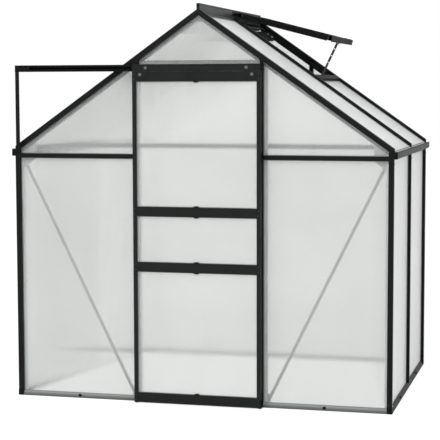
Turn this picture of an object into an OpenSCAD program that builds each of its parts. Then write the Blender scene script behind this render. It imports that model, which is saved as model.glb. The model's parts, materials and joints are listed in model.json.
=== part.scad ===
// Small walk-in greenhouse: dark extruded frame, twin-wall sheets, a sliding gable door
// on an overhead track and one roof vent on a peg stay.
// Millimetres. X runs to the right, Y to the rear, Z up. The origin lies on the ground,
// in the middle of the four anchor holes. Every wall bar is drawn with its outer face at
// depth 0 and its inner face at depth bar_d.

/* [House] */
// Width over the corner posts
house_w = 1900; // [1880:10:2600]
// Length over the corner posts
house_l = 1321; // [1100:1:2600]
// Height of the roof's upper plane at the outside of the posts
eave_h = 1264; // [1150:1:1900]
// Roof pitch in degrees
roof_pitch = 35.1; // [30:0.1:42]

/* [Sheets] */
// Thickness of the twin-wall sheets
sheet_t = 4; // [3:0.5:6]
// How far the sheets lie behind the frame's outer face
sheet_in = 17; // [14:0.5:18]
// How far a sheet's edge goes into its groove
sheet_bite = 7; // [5:0.5:8]
// How far the roof sheets run out past the house's sides
sheet_over = 3; // [1:0.5:8]
// Free play of a sheet in its groove, on each face
sheet_play = 0.3; // [0.2:0.1:0.6]
// Free play beyond a sheet's edge, at the bottom of its groove
edge_play = 0.5; // [0.3:0.1:1]

/* [Frame bars] */
// Depth of the frame bars, from the outer face to the inner face
bar_d = 31; // [29:1:36]
// Wall thickness of the extrusions
wall = 1.8; // [1.4:0.1:2.2]
// Width of the corner posts, with their flange behind the sheets
post_w = 38; // [30:1:45]
// Width of the corner posts' face in front of the gable's sheets
post_lip = 25; // [23:1:30]
// Face width of the side and rear studs
stud_w = 20; // [19:1:30]
// Distance of the rear studs from the middle of the wall
rear_stud_x = 305; // [200:5:400]
// Width of the door jambs, with their flange behind the sheets
jamb_w = 34; // [30:1:50]
// Width of the door jambs' face in front of the sheets
jamb_lip = 16; // [14:1:24]
// Face height of the crossbars
crossbar_h = 21; // [19:1:30]
// How far the crossbars' upper edge lies below the eave height
crossbar_drop = 37; // [30:1:60]
// Height of the gable rafters with their flange behind the sheets, square to the slope
rafter_h = 42; // [36:1:50]
// Height of the gable rafters' face in front of the sheets, square to the slope
rafter_lip = 25; // [23:1:30]
// Face width of the roof bars
roof_bar_w = 20; // [19:1:30]
// Width of the bolt slot in the bars' inner faces
slot_w = 6.5; // [5:0.5:8]
// Width of the pocket behind the bolt slot
slot_pocket_w = 11; // [10:0.5:13]
// Thickness of the lips that hold a bolt head in the slot
slot_lip = 1.8; // [1.4:0.1:2.5]

/* [Sills] */
// Height of the sills
sill_h = 22; // [20:1:40]
// Height of the square toe under the sills' drip face
sill_toe = 4; // [3:0.5:8]
// How far the drip face runs back to its upper edge
sill_drip = 12; // [8:0.5:13]
// Thickness of the sills' flange that lies on the ground
sill_foot = 2.2; // [1.8:0.1:3]

/* [Eaves and ridge] */
// How far the eave bars' underside lies below the eave height
eave_drop = 50; // [48:1:70]
// How far the gutters stand out from the posts
gutter_w = 18; // [16:1:40]
// Height of the gutters' outer wall
gutter_h = 36; // [30:1:46]
// Radius of the rolled bead on the gutters' rim
gutter_bead_r = 2; // [1.5:0.1:3]
// Chamfer of the gutters' lower outer edge
gutter_chamfer = 7; // [4:0.5:9]
// Width of the ridge's upright web
ridge_w = 15; // [12:1:22]
// How far the ridge stands above the roof's apex
ridge_up = 25; // [15:1:40]
// How far the ridge's bearing wings reach from the middle
ridge_wing = 40; // [30:1:60]
// Depth of the ridge below the roof's apex
ridge_down = 62; // [58:1:90]

/* [Doorway] */
// Clear width between the jambs
doorway_w = 608; // [500:1:700]
// Height of the header over the doorway, with its flange behind the sheet
header_h = 37; // [30:1:45]
// Gap between the header's upper edge and the rafters' face at the jambs
header_gap = 3; // [1:0.5:10]

/* [Door] */
// How far the door laps over the doorway on each side
door_lap = 15; // [15:1:60]
// Thickness of the door's frame
door_d = 28; // [24:1:36]
// Gap between the door and the front of the house
door_gap = 22; // [20:1:40]
// Gap between the door and the ground
door_lift = 6; // [5:0.5:12]
// Gap between the door and the track above it
door_top_gap = 0.6; // [0.5:0.1:4]
// Face width of the door's stiles
stile_w = 18; // [16:1:40]
// Height of the door's top rail
top_rail_h = 48; // [34:1:70]
// Height of the door's two middle rails
mid_rail_h = 46; // [30:1:70]
// Height of the door's bottom rail
bottom_rail_h = 48; // [34:1:70]
// Height of the lower middle rail's underside above the ground
low_rail_z = 656; // [300:1:800]
// Clear height of the pane between the two middle rails
mid_pane_h = 226; // [100:1:400]
// Radius of the small glazing clips on the door's rails
clip_r = 6; // [4:0.5:9]

/* [Track and rollers] */
// Height of the overhead track
track_h = 32; // [32:1:44]
// How far the track's underside lies below the header's underside
track_drop = 16; // [12:1:20]
// How far the track reaches past the closed and the open door
track_over = 7; // [4:1:30]
// How far the track's free end and its strut keep in from the house's corner
strut_in = 24; // [20:1:60]
// Depth of the track's running channel, in front of its hollow back
channel_d = 26; // [24:1:34]
// Radius of the round bead that the rollers run on
rail_r = 3; // [2:0.5:4]
// Gap between the edges of the channel's mouth and the axles' collars
mouth_play = 0.7; // [0.4:0.1:2]
// Radius of the rollers over their flanges
roller_r = 12.6; // [11:0.1:12.8]
// Width of the rollers
roller_w = 11; // [9:0.5:14]
// Radius of the rollers' axles
axle_r = 3; // [2:0.5:4]
// Radial play of a hinge pin or an axle in its bore
pin_play = 0.1; // [0.05:0.01:0.1]
// Gap between the rollers' groove and the rail, and beside the rollers
run_play = 0.3; // [0.2:0.1:0.6]
// Distance of a roller's axle from the door's edge
hanger_in = 69; // [40:1:120]
// Width of the hanger plates
hanger_w = 52; // [36:1:90]
// Thickness of the hanger plates
hanger_t = 2.5; // [2:0.5:5]
// Distance of the fixing bolt outside the axle
hanger_bolt_x = 28; // [20:1:34]
// Width of the post under the track's free end
strut_w = 18; // [14:1:24]
// Thickness of that post, whose face is flush with the track's
strut_t = 8; // [6:0.5:14]
// Height of the tube that holds the post off the rafter
strut_foot_h = 18; // [10:1:18]
// Gap between that post and the open door
strut_play = 1; // [0.5:0.5:5]

/* [Roof vent] */
// Distance of the vent's hinge from the apex, along the slope
hinge_s = 21.5; // [20:0.5:30]
// Height of the vent's hinge above the roof's upper plane
hinge_n = 16.5; // [15:0.5:24]
// Radius of the bead that the vent turns on
hinge_r = 5; // [4:0.5:6]
// Wall of the hinge channel round that bead
hinge_wall = 2; // [1.6:0.1:3]
// Length of the vent from its hinge, along the slope
vent_l = 525; // [400:5:600]
// Thickness of the vent's frame
vent_d = 24; // [20:1:28]
// Face width of the vent's side bars
vent_side_w = 18; // [14:1:30]
// Face width of the vent's top and bottom bars
vent_end_w = 25; // [20:1:35]
// How far the vent laps over the roof bar
vent_lap = 10; // [6:1:10]
// How far the vent's rear side lies in front of the house's rear face
vent_rear_in = 4.5; // [2:0.5:12]
// How far the vent stands open, in degrees from the roof
vent_open = 20.5; // [10:0.5:30]
// Face width of the trimmer bar under the vent's lower edge
trimmer_w = 33; // [28:1:45]
// How far the trimmer reaches up under the vent's lower edge
trimmer_lap = 1.5; // [0:0.5:10]

/* [Vent stay] */
// Width of the stay bar
stay_w = 12; // [10:0.5:14]
// Thickness of the stay bar
stay_t = 3; // [2:0.5:4]
// Distance of the stay's pivot from the vent's lower edge
stay_in = 25; // [20:1:30]
// Depth of the stay's pivot below the middle of the vent
stay_n = 20; // [18:0.5:24]
// Radius of the stay's pivot and of its peg
peg_r = 3; // [2:0.5:3.5]
// Distance of the peg from the trimmer's upper side
peg_s = 16; // [14:0.5:24]
// Depth of the peg below the roof's upper plane
peg_n = 18; // [16:0.5:22]
// Spacing of the stay's holes
hole_pitch = 40; // [25:1:60]

/* [Braces and plates] */
// Width of the diagonal braces
brace_w = 15; // [11:1:25]
// Thickness of the diagonal braces
brace_t = 2.5; // [2:0.5:5]
// Thickness of the gusset plates
plate_t = 2; // [1.5:0.5:3]
// Reach of the eave gussets along the crossbars
gusset_l = 100; // [70:5:160]
// Reach of the eave gussets down the posts
gusset_down = 66; // [50:1:100]
// Reach of the apex plates past the ridge's wings
apex_plate_l = 50; // [40:1:90]
// Height of the apex plates' ends
apex_plate_h = 30; // [24:1:50]
// Reach of the braces' foot plates past the jambs
brace_plate_l = 14; // [12:1:60]
// Height of the braces' foot plates
brace_plate_h = 52; // [44:1:90]
// How far the braces' upper ends keep in from the house's corner
brace_head_in = 37.5; // [34:0.5:60]
// Gap between the plates and what stands beside them
plate_gap = 1; // [0.5:0.5:3]
// Reach of the foot gussets along the sills
foot_l = 110; // [100:5:160]
// Distance of the anchor holes from the house's outer faces
anchor_in = 55; // [45:1:65]
// Radius of the anchor holes
anchor_r = 4.5; // [3:0.5:6]
// Radius of the frame's nuts, over their corners
nut_r = 5.8; // [4:0.1:7]
// Height of the frame's nuts
nut_h = 5; // [3:0.5:6]

/* [Hidden] */
$fn = 48;

// Cuts run this far past the faces that they open
cut = 1;
half_w = house_w / 2;
half_l = house_l / 2;
apex_h = eave_h + half_w * tan(roof_pitch);

groove_front = sheet_in - sheet_play;
groove_back = sheet_in + sheet_t + sheet_play;
groove_h = groove_back - groove_front;
groove_depth = sheet_bite + edge_play;

crossbar_top = eave_h - crossbar_drop;
crossbar_z = crossbar_top - crossbar_h;
eave_z = eave_h - eave_drop;

jamb_in = doorway_w / 2;
jamb_out = jamb_in + jamb_w;
// The front's side panes are seen between these two distances from the middle
pane_in = jamb_in + jamb_lip;
pane_out = half_w - post_lip;
header_top = roof_z(jamb_in, rafter_lip) - header_gap;
header_z = header_top - header_h;
// The header's face ends this far below the track's upper edge, hidden behind the track
header_hide = 1;
header_lip = track_h - track_drop - header_hide;

track_z = header_z - track_drop;
door_mid = door_gap + door_d / 2;
door_half = jamb_in + door_lap;
door_top = track_z - door_top_gap;
high_rail_z = low_rail_z + mid_rail_h + mid_pane_h;
door_sheet_in = (door_d - sheet_t) / 2;
rail_z = track_z + wall;
groove_r = rail_r + run_play;
// How far a roller's flanges stay above the floor of the channel
flange_clear = 1.6;
axle_z = rail_z + flange_clear + roller_r;
axle_x = door_half - hanger_in;
collar_r = axle_r + 1.5;
stop_gap = 0.5;
track_right = door_half + track_over;
track_left = -half_w + strut_in;
// The door slides as far as the track's post lets it
door_travel = -track_left - strut_w - strut_play - door_half;
// Half the angle of the V groove in the rollers, and the depth of its flanks
vee = 45;
vee_root = roller_r + flange_clear - groove_r / sin(vee);
guide_t = 3;
guide_play = 1;
guide_h = 10;

ridge_lip_x = ridge_w / 2 + 10;
ridge_low = apex_h - ridge_down;
ridge_top = apex_h + ridge_up;
hinge_x = hinge_s * cos(roof_pitch) + hinge_n * sin(roof_pitch);
hinge_z = apex_h - hinge_s * sin(roof_pitch) + hinge_n * cos(roof_pitch);
// The gusset plates stay this far below the roof's upper plane, clear of the sheets
plate_a = groove_back + wall;

vent_y0 = roof_bar_w / 2 - vent_lap;
vent_y1 = half_l - vent_rear_in;
// The vent's bars begin this far from the hinge
vent_neck = 10;
// Lips under the vent come down to this gap over the closed roof
vent_seat_gap = 0.3;
vent_seat_lip = hinge_n - vent_d / 2 - vent_seat_gap;
vent_lip_t = 2;
trimmer_s = hinge_s + vent_l - trimmer_lap;
stay_s = vent_l - stay_in;
stay_y = (vent_y0 + vent_y1) / 2;
peg_at = [trimmer_s - peg_s, -peg_n];
pivot_at = vent_point(stay_s, -stay_n);
stay_reach = norm(peg_at - pivot_at);
stay_angle = atan2(peg_at[1] - pivot_at[1], peg_at[0] - pivot_at[0]);
ear_t = 2.5;
ear_gap = 0.5;

// Height of the line that lies depth a below the roof's upper plane, at x
function roof_z(x, a) = apex_h - abs(x) * tan(roof_pitch) - a / cos(roof_pitch);

// A point of the right slope as [x, z], at distance s from the apex and depth a
function slope_point(s, a) = [
    s * cos(roof_pitch) - a * sin(roof_pitch), apex_h - s * sin(roof_pitch) - a * cos(roof_pitch)
];

// A point of the open vent as [distance down the slope, height over the roof's plane]
function vent_point(s, n) = [
    hinge_s + s * cos(vent_open) - n * sin(vent_open),
    hinge_n + s * sin(vent_open) + n * cos(vent_open)
];

// Places: each wall's local X runs along the wall, local Y is the depth behind its face
module front_wall() {
    translate([0, -half_l, 0]) children();
}
module rear_wall() {
    mirror([0, 1, 0]) front_wall() children();
}
module right_wall() {
    rotate([0, 0, 90]) translate([0, -half_w, 0]) children();
}
module left_wall() {
    mirror([1, 0, 0]) right_wall() children();
}

// Right slope: local X runs down the slope from the apex, local Z is square to the roof
module right_slope() {
    translate([0, 0, apex_h]) rotate([0, roof_pitch, 0]) children();
}
module left_slope() {
    mirror([1, 0, 0]) right_slope() children();
}

// The vent's own place: X from the hinge to the vent's lower edge, Z square to the vent
module on_vent() {
    right_slope() translate([hinge_s, 0, hinge_n]) rotate([0, -vent_open, 0]) children();
}

// Places in front of the house: local Y is the distance in front of the frame's face
module before_front() {
    mirror([0, 1, 0]) translate([0, half_l, 0]) children();
}
// A section drawn as [height, depth] becomes a level bar of length l
module level_bar(l) {
    rotate([0, -90, 0]) linear_extrude(l, center = true) children();
}
// An outline drawn as [x, z] becomes a sheet between two depths
module upright(from, to) {
    translate([0, to, 0]) rotate([90, 0, 0]) linear_extrude(to - from) children();
}

// Extruded sections

module groove_cut(w, side) {
    translate([side > 0 ? w / 2 - groove_depth : -w / 2 - cut, groove_front])
        square([groove_depth + cut, groove_h]);
}

// Bolt slot with its wider pocket, open to the inner face
module slot_cut(d) {
    translate([-slot_w / 2, groove_back + wall])
        square([slot_w, d - groove_back - wall + cut]);
    translate([-slot_pocket_w / 2, groove_back + wall])
        square([slot_pocket_w, d - slot_lip - groove_back - wall]);
}

// Straight bar of face width w, with sheet grooves on the named sides
module bar_section(w, grooves) {
    difference() {
        translate([-w / 2, 0]) square([w, bar_d]);
        translate([-w / 2 + wall, wall]) square([w - 2 * wall, groove_front - 2 * wall]);
        for (side = grooves)
            groove_cut(w, side);
        slot_cut(bar_d);
    }
}

// Bar with one groove, drawn from its plain side. Its face in front of the sheet ends at
// the lip, and a flange behind the sheet runs on to the full width w
module stepped_section(w, lip) {
    difference() {
        square([w, bar_d]);
        translate([lip, -cut]) square([w - lip + cut, groove_front + cut]);
        translate([wall, wall]) square([lip - 2 * wall, groove_front - 2 * wall]);
        translate([lip - groove_depth, groove_front])
            square([w - lip + groove_depth + cut, groove_h]);
        translate([w / 2, 0]) slot_cut(bar_d);
    }
}

// Corner bar between two surfaces: X is the depth below one, Y the depth below the other.
// In front of the gable's sheets its face ends at the lip, behind them it runs on to wx
module corner_section(wx, wy, lip) {
    difference() {
        square([wx, wy]);
        translate([lip, -cut]) square([wx - lip + cut, groove_front + cut]);
        translate([wall, wall]) square([groove_front - 2 * wall, groove_front - 2 * wall]);
        translate([groove_front, wall])
            square([lip - groove_front - wall, groove_front - 2 * wall]);
        translate([wall, groove_front])
            square([groove_front - 2 * wall, wy - groove_front - wall]);
        translate([groove_back + wall, groove_back + wall])
            square([wx - groove_back - 2 * wall, wy - groove_back - 2 * wall]);
        translate([lip - groove_depth, groove_front])
            square([wx - lip + groove_depth + cut, groove_h]);
        translate([groove_front, wy - groove_depth]) square([groove_h, groove_depth + cut]);
    }
}

// Sill: sloping drip face, hollow behind it, sheet groove and a flange on the ground
module sill_outline() {
    polygon([
        [0, 0], [sill_toe, 0], [sill_h, sill_drip], [sill_h, groove_back + wall],
        [sill_foot, groove_back + wall], [sill_foot, bar_d], [0, bar_d]
    ]);
}
module sill_section() {
    difference() {
        sill_outline();
        polygon([
            [sill_foot, 2 * wall], [sill_foot, groove_front - wall],
            [sill_h - 2 * wall, groove_front - wall]
        ]);
        translate([sill_h - groove_depth, groove_front]) square([groove_depth + cut, groove_h]);
    }
}

// Outline under the rafters, down to depth a, for cutting gable pieces
module under_roof(a) {
    polygon([
        [-house_w, 0], [-house_w, roof_z(house_w, a)], [0, roof_z(0, a)],
        [house_w, roof_z(house_w, a)], [house_w, 0]
    ]);
}
// A rectangle of the gable between two x and two z, cut off along the slope at depth a
module gable_piece(x0, x1, z0, z1, a) {
    intersection() {
        under_roof(a);
        translate([x0, z0]) square([x1 - x0, z1 - z0]);
    }
}

// Cuts what stands between two x: its face under the rafters' lips and the rest under
// their flanges
module under_rafter(x0, x1) {
    upright(-cut, groove_front) gable_piece(x0, x1, 0, apex_h, rafter_lip);
    upright(0, bar_d + cut) gable_piece(x0, x1, 0, apex_h, rafter_h);
}

// The part of a section, drawn as [height, depth], that lies in front of the sheets
module face_part() {
    intersection() {
        children();
        translate([-house_w, -cut]) square([2 * house_w, groove_front + cut]);
    }
}
// Level bar whose face reaches between two x, and its part behind the sheets between two more
module stepped_bar(face, back) {
    translate([(face[0] + face[1]) / 2, 0, 0])
        level_bar(face[1] - face[0]) face_part() children();
    translate([(back[0] + back[1]) / 2, 0, 0]) level_bar(back[1] - back[0]) children();
}

// Sills

module front_sill() {
    behind = half_w - post_w;
    stepped_bar([-pane_out, pane_out], [-behind, behind]) sill_section();
}
module side_sill() {
    level_bar(house_l - 2 * bar_d) sill_section();
}
module sill_front() {
    color("#6f7271") front_wall() front_sill();
}
module sill_rear() {
    color("#6f7271") rear_wall() front_sill();
}
module sill_left() {
    color("#2b2e2d") left_wall() side_sill();
}
module sill_right() {
    color("#2b2e2d") right_wall() side_sill();
}

// Posts, jambs and studs

// Corner post of the front right corner: cut along the rafter, and under the eave bar
module corner_post() {
    intersection() {
        front_wall() translate([half_w, 0, 0]) mirror([1, 0, 0])
            linear_extrude(apex_h) corner_section(post_w, bar_d, post_lip);
        front_wall() under_rafter(half_w - post_w - cut, half_w + cut);
    }
}
module post_front_right() {
    color("#2b2e2d") corner_post();
}
module post_front_left() {
    color("#2b2e2d") mirror([1, 0, 0]) corner_post();
}
module post_rear_right() {
    color("#2b2e2d") mirror([0, 1, 0]) corner_post();
}
module post_rear_left() {
    color("#2b2e2d") mirror([1, 0, 0]) mirror([0, 1, 0]) corner_post();
}

// Upright gable bar at x that stands on the sill and ends under the rafter
module gable_upright(x, w, grooves) {
    intersection() {
        translate([x, 0, sill_h]) linear_extrude(apex_h) bar_section(w, grooves);
        under_rafter(x - w, x + w);
    }
}
module jamb() {
    front_wall() intersection() {
        translate([jamb_in, 0, sill_h]) linear_extrude(apex_h)
            stepped_section(jamb_w, jamb_lip);
        under_rafter(jamb_in - cut, jamb_out + cut);
    }
}
module jamb_right() {
    color("#2b2e2d") jamb();
}
module jamb_left() {
    color("#2b2e2d") mirror([1, 0, 0]) jamb();
}
module rear_studs() {
    color("#2b2e2d") rear_wall()
        for (side = [-1, 1])
            gable_upright(side * rear_stud_x, stud_w, [-1, 1]);
}
module side_stud() {
    translate([0, 0, sill_h]) linear_extrude(eave_z - sill_h) bar_section(stud_w, [-1, 1]);
}
module side_studs() {
    color("#2b2e2d") {
        right_wall() side_stud();
        left_wall() side_stud();
    }
}

// Crossbars and header

module crossbar(face, back) {
    translate([0, 0, crossbar_z + crossbar_h / 2])
        stepped_bar(face, back) bar_section(crossbar_h, [-1, 1]);
}
module front_crossbars() {
    color("#2b2e2d") front_wall()
        for (side = [0, 1])
            mirror([side, 0, 0])
                crossbar([pane_in, pane_out], [jamb_out, half_w - post_w]);
}
module rear_crossbars() {
    stud_in = rear_stud_x - stud_w / 2;
    stud_out = rear_stud_x + stud_w / 2;
    color("#2b2e2d") rear_wall() {
        crossbar([-stud_in, stud_in], [-stud_in, stud_in]);
        for (side = [0, 1])
            mirror([side, 0, 0])
                crossbar([stud_out, pane_out], [stud_out, half_w - post_w]);
    }
}
module door_header() {
    color("#2b2e2d") front_wall() intersection() {
        translate([0, 0, header_z]) level_bar(doorway_w)
            stepped_section(header_h, header_lip);
        under_rafter(-jamb_in - cut, jamb_in + cut);
    }
}

// Roof bars

// Gable rafter of the front right, mitred at the apex and cut plumb at the eave
module rafter() {
    intersection() {
        right_slope() translate([0, -half_l, 0]) rotate([0, 90, 0])
            linear_extrude(house_w) corner_section(rafter_h, bar_d, rafter_lip);
        translate([0, -half_l - cut, 0]) cube([half_w, bar_d + 2 * cut, 2 * apex_h]);
    }
}
module rafter_front_right() {
    color("#262928") rafter();
}
module rafter_front_left() {
    color("#262928") mirror([1, 0, 0]) rafter();
}
module rafter_rear_right() {
    color("#262928") mirror([0, 1, 0]) rafter();
}
module rafter_rear_left() {
    color("#262928") mirror([1, 0, 0]) mirror([0, 1, 0]) rafter();
}

// Room that the roof bar leaves for the ridge and, below its grooves, for the eave bar
module roof_bar_room() {
    polygon([
        [-half_w, 0], [-half_w, 2 * apex_h], [ridge_lip_x + edge_play, 2 * apex_h],
        [ridge_lip_x + edge_play, roof_z(ridge_lip_x + edge_play, groove_back)],
        [ridge_wing, roof_z(ridge_wing, groove_back)], [ridge_wing, 0]
    ]);
    translate([half_w - bar_d, 0])
        polygon([
            [0, 0], [0, roof_z(half_w - bar_d, groove_back)],
            [bar_d, roof_z(half_w, groove_back)], [bar_d, 2 * apex_h],
            [house_w, 2 * apex_h], [house_w, 0]
        ]);
}
module roof_bar() {
    difference() {
        right_slope() rotate([0, 90, 0]) linear_extrude(house_w)
            rotate([0, 0, -90]) bar_section(roof_bar_w, [-1, 1]);
        upright(-roof_bar_w, roof_bar_w) roof_bar_room();
    }
}
module roof_bar_right() {
    color("#2b2e2d") roof_bar();
}
module roof_bar_left() {
    color("#2b2e2d") mirror([1, 0, 0]) roof_bar();
}

// Ridge: hollow upright web, lips over the sheets' upper edges and wings under them

module ridge_half() {
    x0 = ridge_w / 2;
    polygon([
        [0, ridge_low], [x0, ridge_low], [x0, roof_z(x0, groove_back + 2 * wall)],
        [ridge_wing, roof_z(ridge_wing, groove_back + 2 * wall)],
        [ridge_wing, roof_z(ridge_wing, groove_back)], [x0, roof_z(x0, groove_back)],
        [x0, roof_z(x0, groove_front)], [ridge_lip_x, roof_z(ridge_lip_x, groove_front)],
        [ridge_lip_x, roof_z(ridge_lip_x, groove_front - 2 * wall)],
        [x0, roof_z(x0, groove_front - 2 * wall)], [x0, ridge_top], [0, ridge_top]
    ]);
}
module ridge_beam() {
    color("#5f6261") {
        upright(-half_l + bar_d, half_l - bar_d) difference() {
            union() {
                ridge_half();
                mirror([1, 0]) ridge_half();
            }
            translate([-ridge_w / 2 + wall, ridge_low + wall])
                square([ridge_w - 2 * wall, ridge_top - ridge_low - 2 * wall]);
        }
        // the cap runs on over the two pairs of rafters
        for (side = [0, 1])
            mirror([0, side, 0]) upright(half_l - bar_d, half_l)
                polygon([
                    [0, apex_h], [ridge_w / 2, roof_z(ridge_w / 2, 0)],
                    [ridge_w / 2, ridge_top], [-ridge_w / 2, ridge_top],
                    [-ridge_w / 2, roof_z(ridge_w / 2, 0)]
                ]);
    }
}

// Eave bar with its gutter, drawn on the right as [x, z]

module eave_bar_outline() {
    polygon([
        [half_w - bar_d, eave_z], [half_w, eave_z],
        [half_w, roof_z(half_w, groove_back)],
        [half_w - bar_d, roof_z(half_w - bar_d, groove_back)]
    ]);
}
module gutter_outline() {
    outer = half_w + gutter_w;
    polygon([
        [half_w, eave_z], [outer - gutter_chamfer, eave_z],
        [outer, eave_z + gutter_chamfer], [outer, eave_z + gutter_h - gutter_bead_r],
        [outer - wall, eave_z + gutter_h - gutter_bead_r],
        [outer - wall, eave_z + gutter_chamfer + 0.4 * wall],
        [outer - gutter_chamfer - 0.4 * wall, eave_z + wall], [half_w, eave_z + wall]
    ]);
    translate([outer - gutter_bead_r, eave_z + gutter_h - gutter_bead_r])
        circle(r = gutter_bead_r, $fn = 24);
}
module gutter_end_outline() {
    outer = half_w + gutter_w;
    polygon([
        [half_w, eave_z], [outer - gutter_chamfer, eave_z],
        [outer, eave_z + gutter_chamfer], [outer, eave_z + gutter_h - gutter_bead_r],
        [half_w, eave_z + gutter_h - gutter_bead_r]
    ]);
}
module eave_gutter() {
    length = house_l - 2 * bar_d;
    upright(-length / 2, length / 2) difference() {
        eave_bar_outline();
        // hollow of the bar, under its sloping top
        polygon([
            [half_w - bar_d + wall, eave_z + groove_depth + wall],
            [half_w - wall, eave_z + groove_depth + wall],
            [half_w - wall, roof_z(half_w - wall, groove_back + 2 * wall)],
            [half_w - bar_d + wall, roof_z(half_w - bar_d + wall, groove_back + 2 * wall)]
        ]);
        translate([half_w - groove_back, eave_z - cut]) square([groove_h, groove_depth + cut]);
    }
    upright(-half_l, half_l) gutter_outline();
    for (side = [0, 1])
        mirror([0, side, 0]) upright(half_l - wall, half_l) gutter_end_outline();
}
module eave_gutter_right() {
    color("#4a4d4c") eave_gutter();
}
module eave_gutter_left() {
    color("#4a4d4c") mirror([1, 0, 0]) eave_gutter();
}

// Trimmer between the roof bar and the rear rafter, under the vent's lower edge
module vent_trimmer() {
    color("#2b2e2d") right_slope() upright(roof_bar_w / 2, half_l - bar_d)
        translate([trimmer_s + trimmer_w / 2, 0]) mirror([0, 1]) bar_section(trimmer_w, [1]);
}

// Sheets

module sheet_color() {
    color("#d6d8d7", 0.6) children();
}
// A gable sheet between two x and two z, running on under the rafters
module gable_sheet(x0, x1, z0, z1) {
    upright(sheet_in, sheet_in + sheet_t)
        gable_piece(x0 - sheet_bite, x1 + sheet_bite, z0 - sheet_bite, z1 + sheet_bite,
            rafter_lip - sheet_bite);
}
// The lower and the upper sheet of one bay of a gable
module gable_bay(x0, x1) {
    gable_sheet(x0, x1, sill_h, crossbar_z);
    gable_sheet(x0, x1, crossbar_top, apex_h);
}
module front_sheets_right() {
    sheet_color() front_wall() gable_bay(pane_in, pane_out);
}
module front_sheets_left() {
    sheet_color() front_wall() gable_bay(-pane_out, -pane_in);
}
module front_sheet_top() {
    sheet_color() front_wall() upright(sheet_in, sheet_in + sheet_t)
        gable_piece(-jamb_in + sheet_play, jamb_in - sheet_play,
            header_z + header_lip - sheet_bite, apex_h, rafter_lip - sheet_bite);
}
module rear_sheets() {
    stud_in = rear_stud_x - stud_w / 2;
    stud_out = rear_stud_x + stud_w / 2;
    sheet_color() rear_wall() {
        gable_bay(-pane_out, -stud_out);
        gable_bay(-stud_in, stud_in);
        gable_bay(stud_out, pane_out);
    }
}
module side_sheets() {
    for (side = [0, 1])
        mirror([side, 0, 0])
            translate([stud_w / 2 - sheet_bite, sheet_in, sill_h - sheet_bite])
                cube([
                    half_l - bar_d - stud_w / 2 + 2 * sheet_bite, sheet_t,
                    eave_z - sill_h + 2 * sheet_bite
                ]);
}
module side_sheets_right() {
    sheet_color() right_wall() side_sheets();
}
module side_sheets_left() {
    sheet_color() left_wall() side_sheets();
}

// Roof sheet from distance s down to the gutter, between two y
module roof_sheet(s, y0, y1) {
    x1 = half_w + sheet_over;
    upright(y0 - sheet_bite, y1 + sheet_bite)
        polygon([
            slope_point(s, sheet_in), [x1, roof_z(x1, sheet_in)],
            [x1, roof_z(x1, sheet_in + sheet_t)], slope_point(s, sheet_in + sheet_t)
        ]);
}
// Upper edge of a full roof sheet, inside the ridge
roof_sheet_s = (ridge_w / 2 + edge_play + (sheet_in + sheet_t) * sin(roof_pitch))
    / cos(roof_pitch);
module roof_sheets_left() {
    sheet_color() mirror([1, 0, 0]) {
        roof_sheet(roof_sheet_s, -half_l + bar_d, -roof_bar_w / 2);
        roof_sheet(roof_sheet_s, roof_bar_w / 2, half_l - bar_d);
    }
}
module roof_sheets_right() {
    sheet_color() {
        roof_sheet(roof_sheet_s, -half_l + bar_d, -roof_bar_w / 2);
        roof_sheet(trimmer_s + trimmer_w - sheet_bite, roof_bar_w / 2, half_l - bar_d);
    }
}

// Braces, plates and small fixings

module strip(from, to, w) {
    translate(from) rotate(atan2(to[1] - from[1], to[0] - from[0]))
        translate([0, -w / 2]) square([norm(to - from), w]);
}
brace_foot = [jamb_out + 0.4 * brace_plate_l, sill_h + brace_plate_h / 4];
brace_head = [half_w - brace_head_in, crossbar_z - gusset_down / 4];

// Diagonal brace inside the front wall, on a small plate at the foot of the jamb
module front_brace() {
    upright(bar_d + plate_t, bar_d + plate_t + brace_t) strip(brace_foot, brace_head, brace_w);
    low = sill_h + 2 * plate_gap;
    upright(bar_d, bar_d + plate_t) polygon([
        [jamb_in + jamb_w / 6, low], [jamb_out + brace_plate_l, low],
        [jamb_out + brace_plate_l, low + 0.4 * brace_plate_h],
        [jamb_out - 2 * plate_gap, low + brace_plate_h],
        [jamb_in + jamb_w / 6, low + brace_plate_h]
    ]);
}
module front_braces() {
    color("#a5a8a7") front_wall()
        for (side = [0, 1])
            mirror([side, 0, 0]) front_brace();
}

// Plate over post, crossbar and rafter at an eave
gusset_x = half_w - max(post_w, bar_d);
gusset_edge = half_w - groove_back - 1.5 * plate_gap;
gusset_end = half_w - gusset_l;
module eave_gusset() {
    upright(bar_d, bar_d + plate_t) polygon([
        [gusset_edge, crossbar_z - gusset_down], [gusset_edge, eave_z - 2 * plate_gap],
        [gusset_x, eave_z - 2 * plate_gap],
        [gusset_x, roof_z(gusset_x, plate_a)], [gusset_end, roof_z(gusset_end, plate_a)],
        [gusset_end, crossbar_z]
    ]);
}
module eave_gussets() {
    color("#8d908f")
        for (side = [0, 1])
            mirror([side, 0, 0]) {
                front_wall() eave_gusset();
                rear_wall() eave_gusset();
            }
}

// Plate over both rafters under the apex, notched round the ridge
apex_x0 = ridge_wing + 6 * plate_gap;
apex_x1 = ridge_wing + apex_plate_l;
module apex_plate() {
    low = roof_z(apex_x1, plate_a) - apex_plate_h;
    high = roof_z(apex_x0, plate_a + 2 * wall);
    upright(bar_d, bar_d + plate_t) difference() {
        polygon([
            [-apex_x1, low], [-apex_x1, roof_z(apex_x1, plate_a)], [-apex_x0, high],
            [apex_x0, high], [apex_x1, roof_z(apex_x1, plate_a)], [apex_x1, low]
        ]);
        translate([-ridge_w / 2 - plate_gap, ridge_low - plate_gap])
            square([ridge_w + 2 * plate_gap, ridge_down]);
    }
}
module apex_plates() {
    color("#8d908f") {
        front_wall() apex_plate();
        rear_wall() apex_plate();
    }
}

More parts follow.
